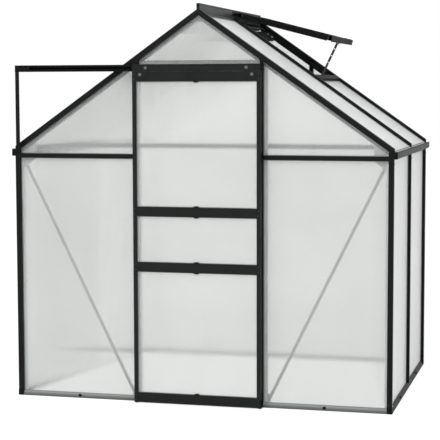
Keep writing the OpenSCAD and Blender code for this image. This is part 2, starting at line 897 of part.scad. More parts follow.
// Anchor plate on the sills' flanges, behind a corner post
module foot_gusset() {
    inner = groove_back + wall + plate_gap;
    difference() {
        translate([0, 0, sill_foot]) linear_extrude(1.5 * plate_t) polygon([
            [post_w + plate_gap, inner], [foot_l, inner], [inner, foot_l],
            [inner, bar_d + plate_gap], [post_w + plate_gap, bar_d + plate_gap]
        ]);
        translate([anchor_in, anchor_in, -cut]) cylinder(r = anchor_r, h = sill_h);
    }
    // collar that carries the plate on the ground round its anchor hole
    translate([anchor_in, anchor_in, 0]) difference() {
        cylinder(r = 2 * anchor_r, h = sill_foot + plate_t, $fn = 12);
        translate([0, 0, -cut]) cylinder(r = anchor_r, h = sill_h);
    }
}
module foot_gussets() {
    color("#8d908f")
        for (sx = [0, 1], sy = [0, 1])
            mirror([sx, 0, 0]) mirror([0, sy, 0]) translate([-half_w, -half_l, 0]) foot_gusset();
}

// Nut with the end of its bolt, standing on a plate whose face is at depth d
module nut_at(x, z, d) {
    translate([x, d, z]) rotate([-90, 0, 0]) {
        cylinder(r = nut_r, h = nut_h, $fn = 6);
        cylinder(r = nut_r / 2, h = 1.4 * nut_h, $fn = 12);
    }
}
module gable_nuts() {
    face = bar_d + plate_t;
    rafter_a = (plate_a + rafter_h) / 2;
    for (side = [0, 1])
        mirror([side, 0, 0]) {
            mid = gusset_end + gusset_l / 3;
            high = apex_x0 + apex_plate_l / 4;
            far = apex_x1 - apex_plate_l / 6;
            nut_at(gusset_edge - nut_r, crossbar_z - 0.6 * gusset_down, face);
            nut_at(mid, crossbar_z + crossbar_h / 2, face);
            nut_at(mid, roof_z(mid, rafter_a), face);
            nut_at(high, roof_z(high, rafter_a), face);
            nut_at(far, roof_z(far, rafter_a), face);
        }
}
module frame_nuts() {
    color("#b9bcbb") {
        front_wall() gable_nuts();
        rear_wall() gable_nuts();
        front_wall() for (side = [0, 1])
            mirror([side, 0, 0]) {
                way = (brace_head - brace_foot) / norm(brace_head - brace_foot);
                low = brace_foot + 1.4 * nut_r * way;
                high = brace_head - 1.7 * nut_r * way;
                nut_at(low[0], low[1], bar_d + plate_t + brace_t);
                nut_at(high[0], high[1], bar_d + plate_t + brace_t);
                nut_at(jamb_in + jamb_w / 2, sill_h + 0.75 * brace_plate_h, bar_d + plate_t);
            }
    }
}

// Round glazing clips on the sills' drip faces, in the middle of each bay
module sill_clip(x) {
    difference() {
        translate([x, 0.5, sill_h / 2 + 1]) rotate([-90, 0, 0])
            cylinder(r = clip_r, h = sill_drip, $fn = 12);
        translate([x, 0, 0]) level_bar(4 * clip_r) sill_outline();
    }
}
module sill_clips() {
    stud_mid = (rear_stud_x + stud_w / 2 + pane_out) / 2;
    side_mid = (stud_w / 2 + half_l - bar_d) / 2;
    color("#1d1f1e")
        for (side = [-1, 1]) {
            front_wall() sill_clip(side * (pane_in + pane_out) / 2);
            rear_wall() sill_clip(side * stud_mid);
            right_wall() sill_clip(side * side_mid);
            left_wall() sill_clip(side * side_mid);
        }
}

// Overhead track, its end stops, its strut and the door's guides

// Section as [height over the underside, distance in front of the house]
module track_section() {
    lip_b = door_gap + channel_d - wall;
    mouth_low = axle_z - track_z - collar_r - mouth_play;
    mouth_high = axle_z - track_z + collar_r + mouth_play;
    difference() {
        square([track_h, door_gap + wall]);
        translate([wall, wall]) square([track_h - 2 * wall, door_gap - wall]);
    }
    square([wall, door_gap + channel_d]);
    translate([track_h - wall, 0]) square([wall, door_gap + channel_d]);
    // lips of the mouth that the rollers' axles pass through
    translate([0, lip_b]) square([mouth_low, wall]);
    translate([mouth_high, lip_b]) square([track_h - mouth_high, wall]);
    intersection() {
        translate([wall, door_mid]) circle(r = rail_r);
        translate([wall / 2, door_mid - track_h]) square([track_h, 2 * track_h]);
    }
}
module door_track() {
    color("#232625") before_front()
        translate([(track_left + track_right) / 2, 0, track_z])
            level_bar(track_right - track_left) track_section();
}
// Plug between the channel's walls, over the rail
module track_stop(x0, x1) {
    translate([(x0 + x1) / 2, 0, track_z]) level_bar(x1 - x0) difference() {
        translate([wall, door_gap + wall])
            square([track_h - 2 * wall, channel_d - 2 * wall]);
        translate([wall, door_mid]) circle(r = groove_r);
    }
}
module track_ends() {
    color("#1d1f1e") before_front() {
        track_stop(axle_x + roller_r + stop_gap, track_right);
        track_stop(track_left, -axle_x - door_travel - roller_r - stop_gap);
    }
}
// Hollow post under the track's free end, held off the rafter's face by a square tube
module track_strut() {
    back = door_gap + channel_d - strut_t;
    low = roof_z(track_left, 0) - strut_foot_h;
    color("#232625") before_front() translate([track_left, 0, low]) {
        translate([0, back, 0]) difference() {
            cube([strut_w, strut_t, track_z - low]);
            translate([wall, wall, -cut])
                cube([strut_w - 2 * wall, strut_t - 2 * wall, track_z - low + 2 * cut]);
        }
        difference() {
            cube([strut_w, back, strut_foot_h]);
            translate([wall, -cut, wall])
                cube([strut_w - 2 * wall, back + cut, strut_foot_h - 2 * wall]);
        }
    }
}
// Angle on the foot of a jamb whose tongue stands in the door's lower groove
module door_guide() {
    tongue = door_mid - guide_t / 2;
    translate([jamb_in + jamb_lip / 2, 0, 0]) upright_across(jamb_lip) {
        translate([0, 1]) square([2.5, sill_h + 22]);
        translate([0, 1]) square([tongue + guide_t, 3]);
        translate([tongue, 1]) square([guide_t, door_lift + guide_h - 3]);
    }
}
// An outline drawn as [distance in front, z] becomes a piece of width w along x
module upright_across(w) {
    translate([-w / 2, 0, 0]) rotate([90, 0, 90]) linear_extrude(w) children();
}
module door_guides() {
    color("#1d1f1e") before_front()
        for (side = [0, 1])
            mirror([side, 0, 0]) door_guide();
}

// Sliding door

module on_door() {
    before_front() translate([0, door_gap, 0]) children();
}
// Section of a door bar as [across, depth from the door's back], with its grooves
module door_section(w, low, high) {
    low_in = low ? groove_depth : 0;
    high_in = high ? groove_depth : 0;
    difference() {
        square([w, door_d]);
        translate([low_in + wall, wall])
            square([w - low_in - high_in - 2 * wall, door_d - 2 * wall]);
        if (low)
            translate([-cut, (door_d - groove_h) / 2]) square([groove_depth + cut, groove_h]);
        if (high)
            translate([w - groove_depth, (door_d - groove_h) / 2])
                square([groove_depth + cut, groove_h]);
    }
}
module door_rail(z, h, low, high) {
    translate([0, 0, z]) level_bar(2 * (door_half - stile_w)) door_section(h, low, high);
}
module stile() {
    low = door_lift + bottom_rail_h;
    on_door() translate([door_half - stile_w, 0, low])
        linear_extrude(door_top - low) door_section(stile_w, true, false);
}
module door_stile_right() {
    color("#232625") stile();
}
module door_stile_left() {
    color("#232625") mirror([1, 0, 0]) stile();
}
module door_top_rail() {
    color("#232625") on_door() door_rail(door_top - top_rail_h, top_rail_h, true, false);
}
module door_mid_rails() {
    color("#232625") on_door() {
        door_rail(low_rail_z, mid_rail_h, true, true);
        door_rail(high_rail_z, mid_rail_h, true, true);
    }
}
module door_bottom_rail() {
    slot = guide_t + 2 * guide_play;
    color("#232625") on_door() translate([0, 0, door_lift]) level_bar(2 * door_half)
        difference() {
            square([bottom_rail_h, door_d]);
            translate([-cut, (door_d - slot) / 2]) square([guide_h + cut, slot]);
            translate([guide_h + wall, wall])
                square([bottom_rail_h - guide_h - groove_depth - 2 * wall, door_d - 2 * wall]);
            translate([bottom_rail_h - groove_depth, (door_d - groove_h) / 2])
                square([groove_depth + cut, groove_h]);
        }
}
module door_sheet(z0, z1) {
    w = door_half - stile_w + sheet_bite;
    translate([-w, door_sheet_in, z0 - sheet_bite])
        cube([2 * w, sheet_t, z1 - z0 + 2 * sheet_bite]);
}
module door_sheets() {
    sheet_color() on_door() {
        door_sheet(door_lift + bottom_rail_h, low_rail_z);
        door_sheet(low_rail_z + mid_rail_h, high_rail_z);
        door_sheet(high_rail_z + mid_rail_h, door_top - top_rail_h);
    }
}
// Half-round clip on a rail's edge at height z, over the sheet below it or above it
module door_clip(z, up) {
    front = door_sheet_in + sheet_t;
    translate([0, door_d - 2, z]) rotate([90, 0, 0]) linear_extrude(door_d - 2 - front)
        intersection() {
            circle(r = clip_r);
            translate([-clip_r, up ? 0 : -clip_r]) square([2 * clip_r, clip_r]);
        }
}
module door_clips() {
    color("#1d1f1e") on_door() {
        door_clip(door_lift + bottom_rail_h, true);
        door_clip(low_rail_z, false);
        door_clip(low_rail_z + mid_rail_h, true);
        door_clip(high_rail_z, false);
        door_clip(high_rail_z + mid_rail_h, true);
        door_clip(door_top - top_rail_h, false);
    }
}

// Running gear of the door

bolt_z = axle_z - track_h;
plate_x = axle_x + hanger_bolt_x / 2;
hanger_low = door_top - top_rail_h + 12;
hanger_high = track_z + track_h - 2;
module along_depth(x, z, from, to) {
    translate([x, from, z]) rotate([-90, 0, 0]) linear_extrude(to - from) children();
}
module hanger() {
    difference() {
        translate([plate_x - hanger_w / 2, door_d, hanger_low])
            cube([hanger_w, hanger_t, hanger_high - hanger_low]);
        along_depth(axle_x, axle_z, 0, 2 * door_d) circle(r = axle_r + pin_play);
        along_depth(axle_x + hanger_bolt_x, bolt_z, 0, 2 * door_d)
            circle(r = axle_r + pin_play);
    }
}
module door_hangers() {
    color("#1b1d1c") on_door()
        for (side = [0, 1])
            mirror([side, 0, 0]) hanger();
}
// Axle with its inner head, its collar and its nut in front, and the lower bolt
module hanger_bolt() {
    back = door_d / 2 - roller_w / 2 - run_play;
    front = door_d / 2 + roller_w / 2 + run_play;
    face = door_d + hanger_t;
    along_depth(axle_x, axle_z, back, face) circle(r = axle_r);
    along_depth(axle_x, axle_z, back - 2, back) circle(r = axle_r + 2, $fn = 12);
    along_depth(axle_x, axle_z, front, door_d) circle(r = collar_r, $fn = 24);
    along_depth(axle_x, axle_z, face, face + 4) circle(r = axle_r + 2.6, $fn = 6);
    along_depth(axle_x + hanger_bolt_x, bolt_z, door_d, face) circle(r = axle_r);
    along_depth(axle_x + hanger_bolt_x, bolt_z, face, face + 4)
        circle(r = axle_r + 2.6, $fn = 6);
}
module hanger_bolts() {
    color("#c2c4c3") on_door()
        for (side = [0, 1])
            mirror([side, 0, 0]) hanger_bolt();
}
// Grooved roller that stands on the rail's round bead
module roller() {
    on_door() translate([axle_x, door_d / 2, axle_z]) rotate([90, 0, 0]) rotate_extrude()
        polygon([
            [axle_r + pin_play, -roller_w / 2], [roller_r, -roller_w / 2],
            [roller_r, -(roller_r - vee_root) * tan(vee)], [vee_root, 0],
            [roller_r, (roller_r - vee_root) * tan(vee)], [roller_r, roller_w / 2],
            [axle_r + pin_play, roller_w / 2]
        ]);
}
module roller_right() {
    color("#e4e4e0") roller();
}
module roller_left() {
    color("#e4e4e0") mirror([1, 0, 0]) roller();
}

// Roof vent

// Socket along the ridge that holds the vent's round bead, as [x, z]
module hinge_channel_section() {
    bore = hinge_r + pin_play;
    low = -roof_pitch - 20;
    high = -roof_pitch + vent_open + 20;
    mid = (low + high) / 2;
    far = 4 * hinge_r;
    arm = 1.5 * hinge_wall;
    translate([ridge_w / 2, hinge_z - hinge_r]) square([hinge_wall, 4.4 * hinge_r]);
    translate([ridge_w / 2 + hinge_wall / 2, hinge_z - arm / 2])
        square([hinge_x - bore - ridge_w / 2 - hinge_wall, arm]);
    translate([hinge_x, hinge_z]) difference() {
        circle(r = bore + hinge_wall);
        circle(r = bore);
        polygon([
            [0, 0], far * [cos(low), sin(low)], far * [cos(mid), sin(mid)],
            far * [cos(high), sin(high)]
        ]);
    }
}
module vent_hinge_channel() {
    color("#3a3d3c") upright(vent_y0 + 2, vent_y1 - 2) hinge_channel_section();
}

// Outlines below are drawn as [distance from the hinge, height over the vent's middle]
module vent_groove(at) {
    translate([at, -groove_h / 2]) square([groove_depth + cut, groove_h]);
}
module vent_top_section() {
    circle(r = hinge_r);
    translate([hinge_r - 1, -1.5]) square([vent_neck - hinge_r + 2, 3]);
    difference() {
        translate([vent_neck, -vent_d / 2]) square([vent_end_w, vent_d]);
        translate([vent_neck + wall, -vent_d / 2 + wall])
            square([vent_end_w - groove_depth - 2 * wall, vent_d - 2 * wall]);
        vent_groove(vent_neck + vent_end_w - groove_depth);
    }
}
module vent_bottom_section() {
    difference() {
        translate([vent_l - vent_end_w, -vent_d / 2]) square([vent_end_w, vent_d]);
        translate([vent_l - vent_end_w + groove_depth + wall, -vent_d / 2 + wall])
            square([vent_end_w - groove_depth - 2 * wall, vent_d - 2 * wall]);
        vent_groove(vent_l - vent_end_w - cut);
    }
    translate([vent_l - vent_lip_t, -vent_d / 2 - vent_seat_lip])
        square([vent_lip_t, vent_seat_lip + wall]);
}
// Side bar as [distance from the vent's front side, height]
module vent_side_section() {
    difference() {
        translate([0, -vent_d / 2]) square([vent_side_w, vent_d]);
        translate([wall, -vent_d / 2 + wall])
            square([vent_side_w - groove_depth - 2 * wall, vent_d - 2 * wall]);
        vent_groove(vent_side_w - groove_depth);
    }
    translate([0, -vent_d / 2 - vent_seat_lip]) square([vent_lip_t, vent_seat_lip + wall]);
}
module vent_top_bar() {
    color("#232625") on_vent() upright(vent_y0, vent_y1) vent_top_section();
}
module vent_side_bar() {
    from = vent_neck + vent_end_w;
    translate([from, 0, 0]) rotate([90, 0, 90])
        linear_extrude(vent_l - vent_end_w - from) vent_side_section();
}
// Ear of the clevis that carries the stay
module vent_ear() {
    translate([stay_s, -stay_n]) circle(r = peg_r + 4);
    polygon([
        [stay_s, -vent_d / 2 + wall / 2], [vent_l - 4, -vent_d / 2 + wall / 2],
        [stay_s + 5, -stay_n - 4.5], [stay_s, -stay_n - 4.5]
    ]);
}
module vent_frame_bars() {
    side = stay_t / 2 + ear_gap;
    color("#232625") on_vent() {
        translate([0, vent_y0, 0]) vent_side_bar();
        translate([0, vent_y1, 0]) mirror([0, 1, 0]) vent_side_bar();
        upright(vent_y0, vent_y1) vent_bottom_section();
        upright(stay_y - side - ear_t, stay_y - side) vent_ear();
        upright(stay_y + side, stay_y + side + ear_t) vent_ear();
        along_depth(stay_s, -stay_n, stay_y - side - ear_t, stay_y + side + ear_t)
            circle(r = peg_r);
    }
}
module vent_sheet() {
    from = vent_neck + vent_end_w - sheet_bite;
    inset = vent_side_w - sheet_bite;
    sheet_color() on_vent() translate([from, vent_y0 + inset, -sheet_t / 2])
        cube([
            vent_l - vent_end_w + sheet_bite - from, vent_y1 - vent_y0 - 2 * inset, sheet_t
        ]);
}

// Stay bar with its row of holes, hung from the vent and hooked on the peg
module vent_stay() {
    count = floor((stay_reach - 25) / hole_pitch);
    color("#34373a") right_slope() translate([pivot_at[0], stay_y, pivot_at[1]])
        rotate([0, -stay_angle, 0]) upright(-stay_t / 2, stay_t / 2) difference() {
            union() {
                circle(r = stay_w / 2);
                translate([0, -stay_w / 2]) square([stay_reach + stay_w / 2, stay_w]);
                translate([stay_reach + stay_w / 2, 0]) circle(r = stay_w / 2);
            }
            circle(r = peg_r + pin_play);
            for (i = [0 : count])
                translate([stay_reach - i * hole_pitch, 0]) circle(r = peg_r + 0.4);
        }
}
// Bracket on the trimmer; its peg ends just beside the stay's last hole
module peg_bracket() {
    ear = stay_y + stay_t / 2 + 6.5;
    face = trimmer_s - ear_t;
    color("#34373a") right_slope() {
        translate([face, stay_y - 12, -peg_n - 11]) cube([ear_t, 21 + ear_t + stay_t / 2, 24]);
        upright(ear, ear + ear_t) {
            translate(peg_at) circle(r = peg_r + 4);
            translate([peg_at[0], peg_at[1] - peg_r - 4])
                square([face - peg_at[0] + 1, 2 * peg_r + 8]);
        }
        along_depth(peg_at[0], peg_at[1], stay_y + stay_t / 2 + run_play, ear + ear_t)
            circle(r = peg_r);
    }
}

sill_front();
sill_rear();
sill_left();
sill_right();
post_front_left();
post_front_right();
post_rear_left();
post_rear_right();
jamb_left();
jamb_right();
rear_studs();
side_studs();
front_crossbars();
rear_crossbars();
door_header();
rafter_front_left();
rafter_front_right();
rafter_rear_left();
rafter_rear_right();
roof_bar_left();
roof_bar_right();
ridge_beam();
eave_gutter_left();
eave_gutter_right();
vent_trimmer();
vent_hinge_channel();
peg_bracket();
door_track();
track_ends();
track_strut();
door_guides();
front_braces();
foot_gussets();
eave_gussets();
apex_plates();
frame_nuts();
sill_clips();
front_sheets_left();
front_sheets_right();
front_sheet_top();
rear_sheets();
side_sheets_left();
side_sheets_right();
roof_sheets_left();
roof_sheets_right();
door_stile_left();
door_stile_right();
door_top_rail();
door_mid_rails();
door_bottom_rail();
door_sheets();
door_clips();
door_hangers();
hanger_bolts();
roller_left();
roller_right();
vent_top_bar();
vent_frame_bars();
vent_sheet();
vent_stay();
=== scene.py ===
# %% [markdown]
# # A small walk-in greenhouse
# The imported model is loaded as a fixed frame: every bar, sheet and roller is already in its
# place, in metres. Here it gets its finishes, the small fittings that a maker would add, soft
# studio light and the camera.

# %% Load the frame
import json
import math
import bpy
from mathutils import Matrix, Vector


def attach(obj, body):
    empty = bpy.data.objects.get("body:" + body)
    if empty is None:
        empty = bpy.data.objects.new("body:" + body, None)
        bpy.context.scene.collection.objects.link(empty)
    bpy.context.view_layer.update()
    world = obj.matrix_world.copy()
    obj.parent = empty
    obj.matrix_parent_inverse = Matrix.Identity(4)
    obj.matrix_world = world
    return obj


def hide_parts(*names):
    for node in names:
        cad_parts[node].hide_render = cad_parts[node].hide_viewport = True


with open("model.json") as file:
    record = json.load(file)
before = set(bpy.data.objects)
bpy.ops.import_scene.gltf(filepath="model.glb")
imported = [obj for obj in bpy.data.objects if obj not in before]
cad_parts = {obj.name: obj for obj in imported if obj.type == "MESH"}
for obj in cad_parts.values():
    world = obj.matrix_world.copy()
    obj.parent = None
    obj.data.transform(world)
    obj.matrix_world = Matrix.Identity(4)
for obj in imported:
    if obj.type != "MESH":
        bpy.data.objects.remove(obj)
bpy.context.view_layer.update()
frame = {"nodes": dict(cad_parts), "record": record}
nodes = frame["nodes"]

# %% [markdown]
# ## Camera
# The picture was taken with a long lens from the front, a little to the right. Such a view
# can be found by eye, one slider at a time. Here the camera's place, turn and focal length
# were worked out from the house's own corners, because that sets all of them at once.

# %% Set up the camera
FOCAL_PIXELS = 1462.68
PICTURE_SIDE = 440
SENSOR_WIDTH = 36.0
CAMERA_PLACE = (1.8687, -7.498, 1.5584)
CAMERA_YAW = math.radians(14.449)
CAMERA_TILT = math.radians(-5.224)
CAMERA_ROLL = math.radians(0.144)
CAMERA_REACH = 100

camera_data = bpy.data.cameras.new("picture_camera")
camera_data.sensor_width = SENSOR_WIDTH
camera_data.lens = FOCAL_PIXELS * SENSOR_WIDTH / PICTURE_SIDE
camera_data.clip_end = CAMERA_REACH
camera = bpy.data.objects.new("picture_camera", camera_data)
bpy.context.scene.collection.objects.link(camera)
turn = (
    Matrix.Rotation(CAMERA_YAW, 4, "Z")
    @ Matrix.Rotation(CAMERA_TILT, 4, "X")
    @ Matrix.Rotation(CAMERA_ROLL, 4, "Y")
    @ Matrix.Rotation(math.radians(90), 4, "X")
)
camera.matrix_world = Matrix.Translation(CAMERA_PLACE) @ turn
bpy.context.scene.camera = camera
print("lens:", round(camera_data.lens, 2))

# %% [markdown]
# ## Helpers for node materials
# A material here is a small tree of nodes. These helpers add a node, link it and hand back
# its output, so that each finish below reads as a list of what it is made of.

# %% Node helpers
def add(tree, kind, **settings):
    """Adds a node with its settings."""
    node = tree.nodes.new(kind)
    for key, value in settings.items():
        setattr(node, key, value)
    return node


def plug(tree, socket, value):
    """Links an output to a node's input, or sets the input to a fixed value."""
    if isinstance(value, bpy.types.NodeSocket):
        tree.links.new(value, socket)
    else:
        socket.default_value = value


def feed(tree, node, **inputs):
    """Plugs a node's inputs by name, with an underscore for each space."""
    for key, value in inputs.items():
        plug(tree, node.inputs[key.replace("_", " ")], value)


def maths(tree, operation, a, b=None, c=None, clamp=False):
    """One step of arithmetic."""
    node = add(tree, "ShaderNodeMath", operation=operation, use_clamp=clamp)
    for index, value in enumerate((a, b, c)):
        if value is not None:
            plug(tree, node.inputs[index], value)
    return node.outputs[0]


def linear(hex_colour):
    """A display colour such as #2b2e2d as the linear values that the shader works in."""
    parts = [int(hex_colour[i:i + 2], 16) / 255 for i in (1, 3, 5)]
    return [c / 12.92 if c <= 0.04045 else ((c + 0.055) / 1.055) ** 2.4 for c in parts] + [1.0]


print("dark frame grey is", [round(c, 3) for c in linear("#2b2e2d")])

# %% [markdown]
# ## Powder coat
# The bars are aluminium with a dark, slightly green-grey powder coat. Such a coat has a very
# fine orange peel, a gloss that wanders a little, and a film of dust on whatever faces up. A
# picture of a coat could be wrapped round the bars, but noise that follows the object's own
# place needs no unwrapping and shows no seam. The peel and the dust are wanted on several
# finishes, so each is a node group. A third group fades from one tone to another along a
# direction, and with it light and shade are painted into the coats: a painted highlight on the
# sloped front sill's upper edge, painted shade on the tops of the rolled gutters and the ridge,
# and painted light on the lips that the front sheets cover, which look pale.

# %% Build the peel and dust groups
PEEL_SIZE = 0.0015
UPRIGHT_DUST = 0.15


def new_group(name, inputs, outputs):
    """A node group with its input and output nodes; inputs come with their usual values."""
    group = bpy.data.node_groups.new(name, "ShaderNodeTree")
    for socket, value in inputs.items():
        kind = "NodeSocketFloat" if isinstance(value, float) else "NodeSocketVector"
        made = group.interface.new_socket(socket, in_out="INPUT", socket_type=kind)
        made.default_value = value
    for socket, kind in outputs.items():
        group.interface.new_socket(socket, in_out="OUTPUT", socket_type="NodeSocket" + kind)
    return group, add(group, "NodeGroupInput"), add(group, "NodeGroupOutput")


def build_peel_group():
    """The relief of an orange peel, and a slow wandering for gloss and tone."""
    group, source, result = new_group(
        "coat_peel", {"Size": PEEL_SIZE}, {"Height": "Float", "Wander": "Float"})
    place = add(group, "ShaderNodeTexCoord")
    fine = add(group, "ShaderNodeTexNoise")
    feed(group, fine, Vector=place.outputs["Object"], Detail=2.0,
         Scale=maths(group, "DIVIDE", 1.0, source.outputs["Size"]))
    wide = add(group, "ShaderNodeTexNoise")
    feed(group, wide, Vector=place.outputs["Object"], Scale=9.0, Detail=4.0)
    feed(group, result, Height=fine.outputs["Fac"], Wander=wide.outputs["Fac"])
    return group


def build_dust_group():
    """A patchy mask that is strongest on the faces that look up."""
    group, source, result = new_group("settled_dust", {"Amount": 0.3}, {"Mask": "Float"})
    place = add(group, "ShaderNodeTexCoord")
    surface = add(group, "ShaderNodeNewGeometry")
    split = add(group, "ShaderNodeSeparateXYZ")
    feed(group, split, Vector=surface.outputs["Normal"])
    upward = maths(group, "MAXIMUM", split.outputs["Z"], 0.0)
    cloud = add(group, "ShaderNodeTexNoise")
    feed(group, cloud, Vector=place.outputs["Object"], Scale=26.0, Detail=5.0, Roughness=0.62)
    patchy = add(group, "ShaderNodeMapRange")
    feed(group, patchy, Value=cloud.outputs["Fac"], From_Min=0.35, From_Max=0.7, To_Min=0.25,
         To_Max=1.0)
    lying = maths(group, "MULTIPLY_ADD", upward, 1.0 - UPRIGHT_DUST, UPRIGHT_DUST)
    mask = maths(group, "MULTIPLY", lying, patchy.outputs[0])
    feed(group, result,
         Mask=maths(group, "MULTIPLY", mask, source.outputs["Amount"], clamp=True))
    return group


coat_peel = build_peel_group()
settled_dust = build_dust_group()
print("groups:", coat_peel.name, settled_dust.name)


# %% Build the fade group
def vector_maths(tree, operation, a, b=None, scale=None):
    """One step of arithmetic with vectors."""
    node = add(tree, "ShaderNodeVectorMath", operation=operation)
    for index, value in enumerate((a, b)):
        if value is not None:
            plug(tree, node.inputs[index], value)
    if scale is not None:
        plug(tree, node.inputs["Scale"], scale)
    return node.outputs["Value" if operation == "DOT_PRODUCT" else 0]


def build_fade_group():
    """A mask that grows from 0 to 1 between two distances along a direction of the object."""
    group, source, result = new_group(
        "fade_along", {"Direction": (0, 0, 0), "From": 0.0, "To": 0.0}, {"Mask": "Float"})
    place = add(group, "ShaderNodeTexCoord")
    along = vector_maths(group, "DOT_PRODUCT", place.outputs["Object"],
                         source.outputs["Direction"])
    grow = add(group, "ShaderNodeMapRange", interpolation_type="SMOOTHSTEP")
    feed(group, grow, Value=along, From_Min=source.outputs["From"],
         From_Max=source.outputs["To"])
    feed(group, result, Mask=grow.outputs[0])
    return group


fade_along = build_fade_group()
print("group:", fade_along.name)


# %% Helpers for a material
def new_material(name):
    """A material with its tree of nodes and its shader."""
    material = bpy.data.materials.new(name)
    material.use_nodes = True
    shader = material.node_tree.nodes["Principled BSDF"]
    return material, material.node_tree, shader


def mix_colour(tree, factor, a, b):
    """Mixes two colours: a where the factor is 0, b where it is 1 (colour sockets 6 and 7)."""
    node = add(tree, "ShaderNodeMix", data_type="RGBA")
    for index, value in ((0, factor), (6, a), (7, b)):
        plug(tree, node.inputs[index], value)
    return node.outputs[2]


def bumped(tree, height, strength, distance):
    """The normal of a surface with a fine relief."""
    bump = add(tree, "ShaderNodeBump")
    feed(tree, bump, Strength=strength, Distance=distance, Height=height)
    return bump.outputs["Normal"]


def toned(colour, factor, lift=0.0):
    """A lighter or darker tone of a linear colour."""
    return [min(1.0, c * factor + lift) for c in colour[:3]] + [1.0]


print("a lighter tone:", [round(c, 3) for c in toned(linear("#2b2e2d"), 1.35)])

# %% Powder coat material
RIGHT = (1, 0, 0)
BACK = (0, 1, 0)
UP = (0, 0, 1)
DARK_GREY = "#0e100f"
DUST_COLOUR = "#8d8d87"
DUST_ROUGHNESS = 0.3
GLOSS_SPREAD = 0.16


def faded(tree, shade, other, direction, start, end):
    """Fades a shade into another colour between two distances along a direction."""
    fade = add(tree, "ShaderNodeGroup", node_tree=fade_along)
    feed(tree, fade, Direction=direction, From=start, To=end)
    return mix_colour(tree, fade.outputs["Mask"], shade, linear(other))


def powder_coat(name, colour, roughness, dust, sheen=0.07, fade=None):
    """A coat of one colour, or of two with a fade: other colour, direction, start and end."""
    material, tree, shader = new_material(name)
    peel = add(tree, "ShaderNodeGroup", node_tree=coat_peel)
    powder = add(tree, "ShaderNodeGroup", node_tree=settled_dust)
    feed(tree, powder, Amount=dust)
    base = linear(colour)
    lighter = toned(base, factor=1.35, lift=0.002)
    shade = mix_colour(tree, peel.outputs["Wander"], base, lighter)
    if fade:
        shade = faded(tree, shade, *fade)
    dusty = mix_colour(tree, powder.outputs["Mask"], shade, linear(DUST_COLOUR))
    gloss = maths(tree, "MULTIPLY_ADD", peel.outputs["Wander"], GLOSS_SPREAD,
                  roughness - GLOSS_SPREAD / 2)
    rough = maths(tree, "MULTIPLY_ADD", powder.outputs["Mask"], DUST_ROUGHNESS, gloss)
    feed(tree, shader, Base_Color=dusty, Roughness=rough, Specular_IOR_Level=sheen,
         Normal=bumped(tree, peel.outputs["Height"], strength=0.25, distance=0.0002))
    return material


frame_coat = powder_coat("frame_coat", DARK_GREY, 0.42, 0.03)
print("the first coat:", frame_coat.name)

# %% Mix the other coats
# The lips behind the front sheets fade into a pale tone: painted light for the light that the
# sheets' ribs scatter in front of them.
lip_coat_painted_light = powder_coat("lip_coat_painted_light", DARK_GREY, 0.42, 0.03,
                       fade=("#e6e8e7", BACK, -0.643, -0.640))
track_coat = powder_coat("track_coat", "#070807", 0.45, 0.02, sheen=0.04)
vent_coat = powder_coat("vent_coat", "#0b0d0c", 0.50, 0.02, sheen=0.03)
door_coat = powder_coat("door_coat", "#161817", 0.40, 0.04)
# The front sill's upper edge fades into a lighter grey: a painted highlight where its top catches
# the light.
sill_coat_painted_highlight = powder_coat("sill_coat_painted_highlight", "#4b4e4d", 0.45, 0.20, fade=("#878a89", UP, 0.007, 0.021))
# The side sills are a darker copy of the sill coat: painted shade.
side_sill_painted_shade = powder_coat("side_sill_painted_shade", "#171918", 0.45, 0.10)
# The rear sill is a pale copy of the sill coat, painted light, fading to dark grey on its outer
# back face.
rear_sill_painted_light = powder_coat("rear_sill_painted_light", "#c4c7c6", 0.45, 0.20,
                             fade=("#505352", BACK, 0.642, 0.650))
# The gutters fade darker along their tops: painted shade.
gutter_coat_painted_shade = powder_coat("gutter_coat_painted_shade", "#343736", 0.42, 0.05, sheen=0.025,
                          fade=("#191b1a", UP, 1.238, 1.248))
# The ridge is the gutters' grey with its top fading darker: painted shade.
ridge_coat_painted_shade = powder_coat("ridge_coat_painted_shade", "#343736", 0.40, 0.06,
                         fade=("#131514", UP, 1.945, 1.953))
stay_coat = powder_coat("stay_coat", "#3b3e40", 0.38, 0.08)
print("more coats:", door_coat.name, sill_coat_painted_highlight.name, gutter_coat_painted_shade.name, ridge_coat_painted_shade.name)

# %% [markdown]
# ## Twin-wall sheet
# A twin-wall sheet is two thin skins of clear plastic joined by a rib every few millimetres.
# The ribs run up the walls and down the roof, and each cell between two ribs acts as a weak
# lens that bends light sideways. So level bars on the far side of the house still show
# through the sheets, and upright ones melt away. The ribs could be modelled one by one, but
# that takes thousands of faces and slow light. On the gables the material leans the surface
# normal across the ribs instead, by a saw-tooth of the position, which blurs the same way.
# The side and roof sheets are rougher instead and only let a soft light through. The left
# wall is a little clearer, since it looks lighter from inside.

# %% Build the rib group
RIB_PITCH = 0.0058
RIB_EDGE = 0.455


